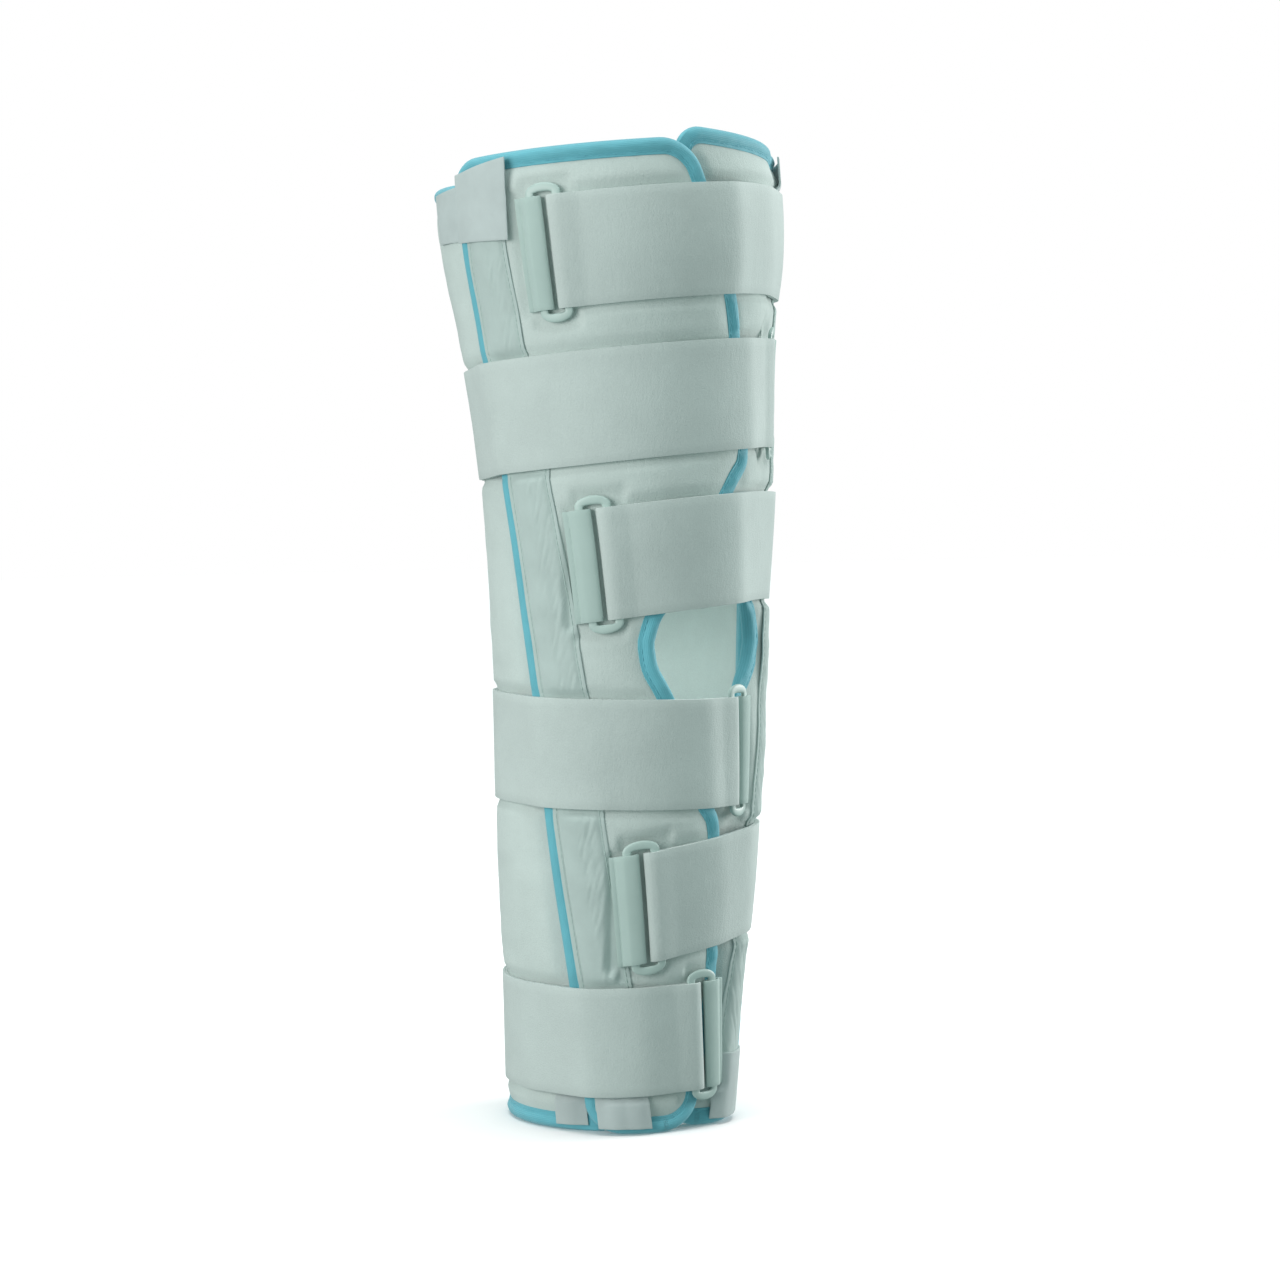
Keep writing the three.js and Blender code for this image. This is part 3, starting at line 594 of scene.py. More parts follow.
def make_binding(piece):
    own, height, inward, run = outline_frame(piece, *BINDING_GRID[piece])
    count = len(own)
    sheet = flat_sheet(f"{piece}_edge_binding", count, 36)
    flat = flat_places(sheet)
    i = np.rint(flat[:, 0] * count).astype(int) % count
    v = flat[:, 1]
    knots = np.linspace(0, 1, 400)
    ins, outs = binding_section(knots)
    # A rounded section, from the straight-sided one.
    by = np.interp(v, knots, smoothed(ins, 17))
    out = np.interp(v, knots, smoothed(outs, 17))
    at_height = height[i] + inward[i, 1] * by
    at_own = own[i] + to_angle(inward[i, 0] * by, height[i], LAPPED_MIDDLE)
    covered = covered_share(piece, at_own, at_height)
    out = np.where(out > 0, out - np.maximum(0, out - 1.22) * covered, out)
    pucker = ripple(run[i], by * 2, 8, 21) * 0.13 * np.clip(by / 2, 0, 1) * (out > 0.5) * (1 - covered)
    middle = panel_middle(piece, at_own, at_height)
    cloth = np.stack([run[i] + 0 * by, v * 24], axis=-1)
    wrap(sheet, place(SIDES.get(piece, 1) * at_own, at_height, middle + out + pucker), cloth)
    weld(sheet, 1e-5)
    thicken_cloth(sheet, BINDING_CLOTH, CLOTH_ROUNDING)
    finish_mesh(sheet, 50)
    return sheet


# Sewn-on cloth.


def rear_distance(own, height):
    """Distance of a place in front of a side panel's rear edge."""
    return (rear_angle(height) - own) * DEGREE * (leg_radius(height) + LAPPED_MIDDLE + BINDING_HALF)


def pocket_surface(side, own, height):
    """Outward distance of a pocket's middle surface from the middle of its panel."""
    distance = rear_distance(own, height)
    across = distance - PIPING_SHOW
    press = pressed(SIDES[side] * own, height)
    edge = distance - EDGE_INSET
    edge = np.minimum(edge, np.minimum(height - EDGE_INSET, TOP_REAR[side] - EDGE_INSET - height))
    under = panel_surface(side, own, height, np.maximum(edge, 4.7))
    share = np.clip(across / POCKET_WIDTH, 0, 1)
    crown = 0.75 * np.sin(math.pi * share) ** 0.6
    seam = 0.55 * dip(across - POCKET_WIDTH + POCKET_SEAM_INSET, 1.2)
    band = ease((across - POCKET_WIDTH + 15) / 4) * ease((POCKET_WIDTH - 1.5 - across) / 3)
    crinkle = ripple(across * 1.2 - height * 0.5, height * 0.25, 3.6, 31) * 0.2
    crinkle = crinkle + ripple(across * 1.4, height * 0.5, 7.0, 32) * 0.16
    wave = ripple(across, height, 28, 33) * 0.15
    return under + 0.42 + (crown - seam + crinkle * band + wave) * (1 - press)


def make_pocket(side):
    sign = SIDES[side]
    top = TOP_REAR[side] - POCKET_END_INSET
    sheet = flat_sheet(f"{side}_stay_pocket_cloth", 44, 300)
    flat = flat_places(sheet)
    height = POCKET_END_INSET + (top - POCKET_END_INSET) * flat[:, 1]
    across = POCKET_WIDTH * flat[:, 0]
    own = rear_angle(height) - to_angle(PIPING_SHOW + across, height, LAPPED_MIDDLE + BINDING_HALF)
    out = panel_middle(side, own, height) + pocket_surface(side, own, height)
    wrap(sheet, place(sign * own, height, out), np.stack([across, height], axis=-1))
    thicken_cloth(sheet, POCKET_CLOTH, 0.15)
    finish_mesh(sheet, 40)
    return sheet


def tab_top(side, upper):
    if upper:
        return TOP_REAR[side] - TAB_EDGE_INSET
    return TAB_EDGE_INSET + BOTTOM_TAB_LENGTH


def make_tab(name, side, heights, from_rear, width, lift, seed):
    """A flat cloth tab beside a rear edge. A negative width lies behind the edge, on the back panel."""
    sign = SIDES[side]
    sheet = flat_sheet(name, 24, 24)
    flat = flat_places(sheet)
    height = heights[0] + (heights[1] - heights[0]) * flat[:, 1]
    distance = from_rear + width * flat[:, 0]
    if heights[0] > BRACE_HEIGHT / 2:
        distance = distance + (height - np.mean(heights)) * 0.1
        height = height + width * flat[:, 0] * flat[:, 1] * (0.2 if width > 0 else 0.1)
    own = rear_angle(height) - to_angle(distance, height, LAPPED_MIDDLE + BINDING_HALF)
    press = pressed(sign * own, height)
    if width > 0:
        piping = np.where(distance < 8, 3.05, 0) * (1 - press)
        covering = np.maximum(pocket_surface(side, own, height), piping)
        out = panel_middle(side, own, height) + covering + 0.85
    else:
        edge = np.minimum(height, BACK_TOP - height) - EDGE_INSET
        under = panel_surface("back", own, height, edge)
        out = BACK_MIDDLE + under + 0.5
    # Stiff cloth bridges what lies under it.
    lines = np.unique(np.round(flat[:, 0], 4), return_inverse=True)[1]
    tops = smoothed(np.array([out[lines == line].max() for line in range(lines.max() + 1)]), 7)
    out = tops[lines] + (out - tops[lines]) * press
    raised = lift * ease((flat[:, 0] - 0.5) / 0.5) * (1 - press)
    wave = ripple(distance, height, 40, seed) * 0.08 * (1 - press)
    cloth = np.stack([distance, height], axis=-1)
    wrap(sheet, place(sign * own, height, out + raised + wave), cloth)
    thicken_cloth(sheet, TAB_CLOTH, CLOTH_ROUNDING)
    finish_mesh(sheet, 40)
    return sheet


# Straps, rings and loops.


def cloth_top(angle, height):
    """Outer surface of the pressed cloth under a strap."""
    sizes = bpy.context.scene.brace_sizes
    turn = (angle + 540) % 360 - 180
    flat = sizes.foam_pressed
    on_back = (np.abs(turn) >= rear_angle(height) - lap_angle(height)) & (height <= BACK_TOP)
    top = np.where(on_back, BACK_MIDDLE + flat, 0)
    for side, sign in SIDES.items():
        own = sign * turn
        panel_top = TOP_FRONT[side]
        middle = panel_middle(side, own, height)
        inside = (own >= front_angle(side, height)) & (own <= rear_angle(height)) & (height <= panel_top)
        top = np.where(inside, np.maximum(top, middle + flat), top)
        distance = rear_distance(own, height)
        pocket = (distance >= PIPING_SHOW) & (distance <= PIPING_SHOW + POCKET_WIDTH)
        pocket &= (height > POCKET_END_INSET) & (height < panel_top - POCKET_END_INSET)
        top = np.where(pocket, np.maximum(top, middle + flat + 0.8), top)
        upper = (height > tab_top(side, True) - TOP_TAB_LENGTH) & (distance > 0) & (distance < 36)
        lower = (height < tab_top(side, False)) & (distance > 4) & (distance < 32)
        top = np.where(upper | lower, np.maximum(top, middle + flat + 1.8), top)
        behind = (distance < 0) & (distance > -34)
        back_tabs = behind & ((height > BACK_TOP - 40) | (height < tab_top(side, False)))
        top = np.where(back_tabs, np.maximum(top, BACK_MIDDLE + flat + 1.2), top)
    return top


def taut_line(turn, radius):
    """Radii of a taut line round a section, from the section's own radii at rising turns."""
    x, y = radius * np.cos(turn), radius * np.sin(turn)
    kept = [0, 1]
    for i in range(2, len(turn)):
        while len(kept) > 1:
            a, b = kept[-2], kept[-1]
            if (x[b] - x[a]) * (y[i] - y[a]) - (y[b] - y[a]) * (x[i] - x[a]) > 0:
                break
            kept.pop()
        kept.append(i)
    held = np.array(kept)
    first = np.clip(np.searchsorted(held, np.arange(len(turn)), side="right") - 1, 0, len(held) - 2)
    a, b = held[first], held[first + 1]
    low = radius[a] * np.sin(turn - turn[a]) + radius[b] * np.sin(turn[b] - turn)
    return radius[a] * radius[b] * np.sin(turn[b] - turn[a]) / low


class StrapRun:
    """The places that a strap, its ring and its loop share. Own angles run from the ring's side."""

    def __init__(self, row):
        sizes = bpy.context.scene.brace_sizes
        self.row = row
        self.sign, self.ring, self.lean = row[3], row[4], row[5]
        middle = BRACE_HEIGHT * row[0]
        self.radius = leg_radius(middle) + LAPPED_MIDDLE + BINDING_HALF
        ring_flat = self.own(BAR_AT + RING_BAR_WIDTH)
        self.start = self.ring - 360 + STRAP_START
        own = np.arange(self.start - 12, self.ring + ring_flat + 12, 0.5)
        levels = np.linspace(-0.5, 0.5, 11) * STRAP_WIDTH
        tops = []
        for across in levels:
            angle = self.sign * own + self.own(self.lean * across)
            tops.append(cloth_top(angle, strap_line(row, self.sign * own) + across))
        tops = np.max(tops, axis=0)
        near = np.abs(own - self.ring) <= ring_flat
        seat = tops[near].max()
        tops = np.where(near, seat, tops)
        line = leg_radius(strap_line(row, self.sign * own))
        taut = taut_line(own * DEGREE, line + tops) - line
        self.lay_own, self.lay_out = own, smoothed(taut, 25) + STRAP_CLEARANCE
        self.seat = seat + STRAP_CLEARANCE
        self.thick = sizes.strap_thick
        self.bar_half = sizes.ring_thick / 2
        self.bar_out = self.seat + self.thick + 0.15 + self.bar_half

    def own(self, length):
        return length / self.radius / DEGREE

    def lay(self, own):
        return np.interp(own, self.lay_own, self.lay_out)

    def at(self, own, across, out):
        angle = self.sign * own + self.own(self.lean * across)
        return place(angle, strap_line(self.row, self.sign * own) + across, out)


def run_lengths(run, path):
    """Distance run along a path of own angles and outward distances."""
    flat = np.stack([path[:, 0] * DEGREE * run.radius, path[:, 1]], axis=-1)
    return np.concatenate([[0], np.cumsum(np.linalg.norm(np.diff(flat, axis=0), axis=1))])


def ribbon(name, run, path, thick, step, columns_across, relief, ends=0.0):
    """A ribbon whose middle surface follows a path.

    relief gives what it rises by, from the distance run, the place across and the whole length."""
    length = run_lengths(run, path)
    columns = int(length[-1] / step)
    sheet = flat_sheet(name, columns, columns_across)
    flat = flat_places(sheet)
    s = flat[:, 0] * length[-1]
    own = np.interp(s, length, path[:, 0])
    out = np.interp(s, length, path[:, 1])
    across = (flat[:, 1] - 0.5) * STRAP_WIDTH
    # Cut ends, with their corners taken off.
    if ends:
        at_end = np.clip((s - length[-1] + ends) / ends, 0, 1)
        across = across * (1 - at_end**3 * ends / STRAP_WIDTH * 0.9)
    out = out + relief(s, across, length[-1])
    wrap(sheet, run.at(own, across, out), np.stack([s, across], axis=-1))
    thicken_cloth(sheet, thick, 0.22)
    finish_mesh(sheet, 40)
    return sheet


def eased_fold(run, length, path, bar_own, reach):
    """Rounds a path's run onto and off the bar, and leaves its turn round the bar as it is."""
    dense = np.arange(0, length[-1], 0.4)
    out = np.interp(dense, length, path[:, 1])
    angle = np.interp(dense, length, path[:, 0])
    soft_out = smoothed(out, 17)
    weight = ease((np.abs(angle - bar_own) / run.own(1) - reach) / 6)
    return np.stack([angle, out + (soft_out - out) * weight], axis=-1)


def strap_path(run):
    """From behind the leg to the ring, round its near bar and back over itself."""
    thick = run.thick
    round_along = BAR_AT - 0.75 - thick / 2
    round_out = run.bar_half + 0.15 + thick / 2
    bar_own = run.ring - run.own(BAR_AT)
    own = np.arange(run.start, bar_own - run.own(8), 0.7)
    base = np.stack([own, run.lay(own) + thick / 2], axis=-1)
    turn = np.linspace(0, 180, 25) * DEGREE
    fold = np.stack(
        [bar_own + run.own(round_along * np.sin(turn)), run.bar_out - round_out * np.cos(turn)], axis=-1
    )
    over = own[own >= run.start + run.own(STRAP_END_GAP)][::-1]
    back = np.stack([over, run.lay(over) + thick * 1.5 + 0.06], axis=-1)
    path = np.concatenate([base, fold, back])
    return eased_fold(run, run_lengths(run, path), path, bar_own, 3)


def make_strap(index, run):
    def relief(s, across, length):
        share = 2 * np.abs(across) / STRAP_WIDTH
        slack = ripple(s, across * 0.3, 70, 40 + index) * 0.07
        stitched = -0.3 * dip(length - s - 5, 1.0)
        return slack - 0.1 * share**4 + stitched

    path = strap_path(run)
    return ribbon(f"strap_cloth_{index}", run, path, run.thick, 1.5, 12, relief, 4.0)


def make_ring(index, run):
    deselect_all()
    bpy.ops.mesh.primitive_torus_add(
        major_radius=BAR_AT, minor_radius=RING_BAR_WIDTH / 2 + 0.2, major_segments=96, minor_segments=20
    )
    ring = bpy.context.object
    ring.name = f"oval_ring_{index}"
    flat = flat_places(ring)
    # The turn round the ring, and the round section's own sideways and upward shares.
    turn = np.arctan2(flat[:, 1], flat[:, 0])
    half = RING_BAR_WIDTH / 2 + 0.2
    side = (np.hypot(flat[:, 0], flat[:, 1]) - BAR_AT) / half
    up = flat[:, 2] / half
    # A moulded flat bar: its section is squared, and its ends are flatter arcs than half circles.
    squarer = np.maximum(np.abs(side), np.abs(up)) ** 0.5
    side, up = side / squarer, up / squarer
    along = np.cos(turn) * (BAR_AT + side * half)
    rise = np.sin(turn)
    across = rise * (RING_ARC + side * half) + np.sign(np.round(rise, 4)) * (STRAP_WIDTH / 2 + RING_END_GAP)
    own = run.ring + run.own(along)
    wrap(ring, run.at(own, across, run.bar_out + up * run.bar_half))
    finish_mesh(ring, 60)
    return ring


def loop_path(run):
    """A webbing strip sewn down behind the ring, turned round its rear bar and sewn down again."""
    thick = LOOP_THICK
    along_radius = BAR_AT - 0.95 - thick / 2
    out_radius = run.bar_half + 0.12 + thick / 2
    bar_own = run.ring + run.own(BAR_AT)
    end_own = run.ring + run.own(LOOP_REACH)
    levels = np.linspace(-0.5, 0.5, 5) * STRAP_WIDTH
    own = np.linspace(bar_own, end_own, 4)
    line = strap_line(run.row, run.sign * own)
    tops = [cloth_top(run.sign * own, line + across) for across in levels]
    lower = float(np.max(tops)) + 0.05 + thick / 2
    upper = lower + thick + 0.05
    turn = np.linspace(-35, 205, 31) * DEGREE
    fold = np.stack(
        [bar_own - run.own(along_radius * np.sin(turn)), run.bar_out - out_radius * np.cos(turn)], axis=-1
    )
    first = np.array([[end_own, lower], [end_own - run.own(2.2), lower]])
    last = np.array([[end_own - run.own(2.2), upper + 0.1], [end_own, upper]])
    path = np.concatenate([first, fold, last])
    length = run_lengths(run, path)
    dense = np.arange(0, length[-1], 0.25)
    return np.stack([np.interp(dense, length, path[:, k]) for k in range(2)], axis=-1)


def make_loop(index, run):
    def relief(s, across, length):
        stitched = -LOOP_SEAM_DEPTH * dip(length - s - LOOP_SEAM_INSET, 0.5)
        return stitched + ripple(s * 0.4, across, 12, 60 + index) * 0.05

    return ribbon(f"ring_loop_webbing_{index}", run, loop_path(run), LOOP_THICK, 0.6, 20, relief)


# Stitches.


def thread(name, centre, up, side, run, pitch):
    """A row of stitches along a line: a thread that dips into the cloth once in each pitch.

    centre, up and side give, at a distance run, a place's metres and its two cross directions."""
    length = run[-1]
    stitches = int(length / pitch)
    sheet = flat_sheet(name, stitches * 6, 6)
    flat = flat_places(sheet)
    s = flat[:, 0] * length
    turn = flat[:, 1] * 2 * math.pi
    phase = (s / length * stitches) % 1
    lift = 0.34 * np.sqrt(np.abs(np.sin(math.pi * phase))) - 0.26
    at = np.stack([np.interp(s, run, centre[:, k]) for k in range(3)], axis=-1)
    out = np.stack([np.interp(s, run, up[:, k]) for k in range(3)], axis=-1)
    beside = np.stack([np.interp(s, run, side[:, k]) for k in range(3)], axis=-1)
    across = THREAD_RADIUS * np.cos(turn)[:, None] * beside
    rise = (lift + THREAD_RADIUS * np.sin(turn))[:, None] * out
    wrap(sheet, at + (across + rise) / 1000)
    weld(sheet, 1e-6)
    finish_mesh(sheet, 80)
    return sheet


def line_thread(name, place_at, pitch):
    """Stitches along a line of places. place_at gives metres for a rise in millimetres."""
    centre = place_at(0.0)
    up = place_at(1.0) - centre
    up /= np.linalg.norm(up, axis=1)[:, None]
    forward = np.gradient(centre, axis=0)
    forward /= np.linalg.norm(forward, axis=1)[:, None] + 1e-12
    side = np.cross(forward, up)
    step = np.linalg.norm(np.diff(centre, axis=0), axis=1) * 1000
    return thread(name, centre, up, side, np.concatenate([[0], np.cumsum(step)]), pitch)


def binding_stitches(piece):
    own, height, inward, _ = outline_frame(piece, *SEAM_GRID[piece])
    own = np.append(own, own[0])
    height = np.append(height, height[0])
    inward = np.vstack([inward, inward[:1]])
    at_height = height + inward[:, 1] * BINDING_SEAM_INSET
    at_own = own + to_angle(inward[:, 0] * BINDING_SEAM_INSET, height, LAPPED_MIDDLE)
    sign = SIDES.get(piece, 1)
    tape = tape_top(np.full(len(at_own), BINDING_SEAM_INSET), covered_share(piece, at_own, at_height))
    top = panel_middle(piece, at_own, at_height) + tape
    name = f"{piece}_binding_stitches"
    return line_thread(name, lambda rise: place(sign * at_own, at_height, top + rise), 3.4)


def pocket_stitches(side, across, index):
    sign = SIDES[side]
    top = TOP_REAR[side] - POCKET_END_INSET
    height = np.linspace(POCKET_END_INSET + 1, top - 1, 700)
    own = rear_angle(height) - to_angle(PIPING_SHOW + across, height, LAPPED_MIDDLE + BINDING_HALF)
    out = panel_middle(side, own, height) + pocket_surface(side, own, height) + 0.35
    name = f"{side}_pocket_stitches_{index}"
    return line_thread(name, lambda rise: place(sign * own, height, out + rise), 3.0)


def loop_stitches(index, run):
    path = loop_path(run)
    length = run_lengths(run, path)
    half = STRAP_WIDTH / 2 - 1.5
    across = np.linspace(-half, half, 120)
    s = np.full(len(across), length[-1] - LOOP_SEAM_INSET)
    own = np.interp(s, length, path[:, 0])
    out = np.interp(s, length, path[:, 1]) - LOOP_SEAM_DEPTH + LOOP_THICK / 2
    return line_thread(f"ring_loop_stitches_{index}", lambda rise: run.at(own, across, out + rise), 2.6)


# Materials.


def new_material(name):
    material = bpy.data.materials.new(name)
    material.use_nodes = True
    tree = material.node_tree
    shader = tree.nodes["Principled BSDF"]
    return material, tree, shader


def noise_node(tree, source, scale, detail, rough=0.5, stretch=(1, 1, 1)):
    mapping = tree.nodes.new("ShaderNodeMapping")
    mapping.inputs["Scale"].default_value = stretch
    tree.links.new(source, mapping.inputs["Vector"])
    noise = tree.nodes.new("ShaderNodeTexNoise")
    noise.inputs["Scale"].default_value = scale
    noise.inputs["Detail"].default_value = detail
    noise.inputs["Roughness"].default_value = rough
    tree.links.new(mapping.outputs["Vector"], noise.inputs["Vector"])
    return noise.outputs["Fac"]


def ribs_node(tree, source, axis, scale):
    wave = tree.nodes.new("ShaderNodeTexWave")
    wave.wave_type = "BANDS"
    wave.bands_direction = axis
    wave.inputs["Scale"].default_value = scale
    wave.inputs["Distortion"].default_value = 1.2
    wave.inputs["Detail"].default_value = 1.0
    wave.inputs["Detail Scale"].default_value = 2.0
    tree.links.new(source, wave.inputs["Vector"])
    return wave.outputs["Fac"]


def math_node(tree, operation, a, b):
    node = tree.nodes.new("ShaderNodeMath")
    node.operation = operation
    for socket, value in zip(node.inputs, (a, b)):
        if isinstance(value, (int, float)):
            socket.default_value = value
        else:
            tree.links.new(value, socket)
    return node.outputs[0]


def tint_node(tree, share, low, high, colours):
    ramp = tree.nodes.new("ShaderNodeValToRGB")
    ramp.color_ramp.elements[0].position = low
    ramp.color_ramp.elements[0].color = (*colours[0], 1)
    ramp.color_ramp.elements[1].position = high
    ramp.color_ramp.elements[1].color = (*colours[1], 1)
    tree.links.new(share, ramp.inputs["Fac"])
    return ramp.outputs["Color"]


def bump_node(tree, shader, height, distance, strength=1.0):
    bump = tree.nodes.new("ShaderNodeBump")
    bump.inputs["Strength"].default_value = strength
    bump.inputs["Distance"].default_value = distance
    tree.links.new(height, bump.inputs["Height"])
    tree.links.new(bump.outputs["Normal"], shader.inputs["Normal"])


def shade(colour, factor):
    return tuple(min(1.0, c * factor) for c in colour)


def brushed_cloth(name, colour, depth):
    """Brushed loop cloth: a short soft pile with faint mottling."""
    material, tree, shader = new_material(name)
    at = tree.nodes.new("ShaderNodeTexCoord").outputs["Object"]
    mottle = noise_node(tree, at, 26, 4, 0.6)
    pile = noise_node(tree, at, 1500, 3, 0.6)
    lie = noise_node(tree, at, 420, 3, 0.6, (1, 1, 0.35))
    share = math_node(
        tree, "ADD", math_node(tree, "MULTIPLY", mottle, 0.6), math_node(tree, "MULTIPLY", pile, 0.4)
    )
    tint = tint_node(tree, share, 0.3, 0.7, (shade(colour, 0.9), shade(colour, 1.07)))
    tree.links.new(tint, shader.inputs["Base Color"])
    shader.inputs["Roughness"].default_value = 0.95
    shader.inputs["Specular IOR Level"].default_value = 0.2
    shader.inputs["Sheen Weight"].default_value = 0.25
    shader.inputs["Sheen Roughness"].default_value = 0.45
    height = math_node(tree, "ADD", pile, math_node(tree, "MULTIPLY", lie, 0.8))
    bump_node(tree, shader, height, depth)
    return material


def woven_cloth(name, colour, weave, depth, sheen, roughness, contrast):
    """Woven cloth, its ribs along and across the sheet's own map."""
    material, tree, shader = new_material(name)
    coordinates = tree.nodes.new("ShaderNodeTexCoord")
    warp = ribs_node(tree, coordinates.outputs["UV"], "X", weave[0])
    weft = ribs_node(tree, coordinates.outputs["UV"], "Y", weave[1])
    mottle = noise_node(tree, coordinates.outputs["Object"], 60, 4, 0.6)
    weave_height = math_node(tree, "MULTIPLY", warp, weft)
    share = math_node(
        tree, "ADD", math_node(tree, "MULTIPLY", weave_height, 0.45), math_node(tree, "MULTIPLY", mottle, 0.6)
    )
    tint = tint_node(tree, share, 0.2, 0.75, (shade(colour, 1 - contrast), shade(colour, 1 + contrast)))
    tree.links.new(tint, shader.inputs["Base Color"])
    shader.inputs["Roughness"].default_value = roughness
    shader.inputs["Specular IOR Level"].default_value = 0.3
    shader.inputs["Sheen Weight"].default_value = sheen
    shader.inputs["Sheen Roughness"].default_value = 0.4
    bump_node(tree, shader, weave_height, depth)
    return material


def moulded_plastic(name, colour):
    material, tree, shader = new_material(name)
    at = tree.nodes.new("ShaderNodeTexCoord").outputs["Object"]
    grain = noise_node(tree, at, 900, 3, 0.6)
    scuff = noise_node(tree, at, 70, 5, 0.6)
    tint = tint_node(tree, scuff, 0.3, 0.7, (shade(colour, 0.93), shade(colour, 1.05)))
    tree.links.new(tint, shader.inputs["Base Color"])
    rough = tree.nodes.new("ShaderNodeMapRange")
    rough.inputs["To Min"].default_value = 0.36
    rough.inputs["To Max"].default_value = 0.52
    tree.links.new(scuff, rough.inputs["Value"])
    tree.links.new(rough.outputs["Result"], shader.inputs["Roughness"])
    bump_node(tree, shader, grain, 0.00005)
    return material


MATERIALS = {}

# Colour, ribs along and across, bump depth, sheen, roughness, contrast.
WOVEN = {
    "edge binding tape": ("binding", (900, 300), 0.00012, 0.3, 0.62, 0.12),
    "stay pocket cloth": ("pocket_cloth", (700, 700), 0.00012, 0.15, 0.8, 0.12),
    "tab cloth": ("tab_cloth", (800, 800), 0.0001, 0.15, 0.8, 0.12),
    "loop webbing": ("webbing", (1500, 700), 0.00006, 0.25, 0.8, 0.05),
    "sewing thread": ("binding", (2000, 2000), 0.00002, 0.2, 0.6, 0.05),
    "pale thread": ("webbing", (2000, 2000), 0.00002, 0.2, 0.6, 0.05),
}


def make_materials():
    colours = bpy.context.scene.brace_colours
    MATERIALS["panel cloth"] = brushed_cloth("panel brushed cloth", tuple(colours.panel_cloth), 0.00025)
    MATERIALS["strap cloth"] = brushed_cloth("strap brushed cloth", tuple(colours.strap_cloth), 0.0002)
    for name, (colour, *settings) in WOVEN.items():
        MATERIALS[name] = woven_cloth(name, tuple(getattr(colours, colour)), *settings)
    MATERIALS["ring plastic"] = moulded_plastic("ring plastic", tuple(colours.ring_plastic))


def size_property(name, description, default, low, high):
    return bpy.props.FloatProperty(name=name, description=description, default=default, min=low, max=high)


def colour_property(name, description, default):
    return bpy.props.FloatVectorProperty(
        name=name, description=description, subtype="COLOR", default=default, min=0, max=1
    )


class BraceSizes(bpy.types.PropertyGroup):
    foam_swell: size_property(
        "Foam swell", "Foam outside its middle surface, between straps, in mm", 3.4, 2, 7
    )
    foam_pressed: size_property(
        "Pressed foam", "Foam outside its middle surface, under a strap, in mm", 1.5, 1, 4
    )
    press_reach: size_property(
        "Press reach", "How far from a strap the foam is drawn down, in mm", 4, 2, 30
    )
    strap_thick: size_property("Strap thickness", "Thickness of one strap layer, in mm", 1.2, 0.8, 3)
    ring_thick: size_property("Ring thickness", "Thickness of a ring's bar, in mm", 1.9, 1, 4)


class BraceColours(bpy.types.PropertyGroup):
    panel_cloth: colour_property("Panel cloth", "Brushed cloth over the foam", (0.53, 0.63, 0.60))
    strap_cloth: colour_property("Strap cloth", "Brushed cloth of the straps", (0.50, 0.59, 0.565))
    binding: colour_property("Binding", "Tape folded round the edges", (0.14, 0.485, 0.57))
    pocket_cloth: colour_property("Pocket cloth", "Cloth of the stay pockets", (0.48, 0.60, 0.57))
    tab_cloth: colour_property("Tab cloth", "Cloth of the tabs", (0.50, 0.59, 0.58))
    webbing: colour_property("Webbing", "Loops that hold the rings", (0.43, 0.57, 0.53))
    ring_plastic: colour_property("Ring plastic", "Moulded oval rings", (0.42, 0.56, 0.52))


class BRACE_OT_panels(bpy.types.Operator):
    """Pads the three foam panels"""

    bl_idname = "brace.panels"
    bl_label = "Foam panels"

    def execute(self, context):
        for piece in PANEL_GRID:
            panel = make_panel(piece)
            place_piece(panel, MATERIALS["panel cloth"], "panel_cloth", f"{piece}_panel")
        return {"FINISHED"}


class BRACE_OT_bindings(bpy.types.Operator):
    """Folds tape round the panels' edges"""

    bl_idname = "brace.bindings"
    bl_label = "Edge bindings"

    def execute(self, context):
        for piece in PANEL_GRID:
            tape = make_binding(piece)
            place_piece(tape, MATERIALS["edge binding tape"], "binding", f"{piece}_panel_binding")
            place_piece(binding_stitches(piece), MATERIALS["sewing thread"], "binding")
        return {"FINISHED"}


class BRACE_OT_pockets(bpy.types.Operator):
    """Sews the stay pockets along the rear edges"""

    bl_idname = "brace.pockets"
    bl_label = "Stay pockets"

    def execute(self, context):
        for side in SIDES:
            pocket = make_pocket(side)
            place_piece(pocket, MATERIALS["stay pocket cloth"], "pocket_cloth", f"{side}_stay_pocket")
            for index, across in enumerate((POCKET_SEAM_INSET, POCKET_WIDTH - POCKET_SEAM_INSET), start=1):
                place_piece(pocket_stitches(side, across, index), MATERIALS["pale thread"], "pocket_cloth")
        return {"FINISHED"}


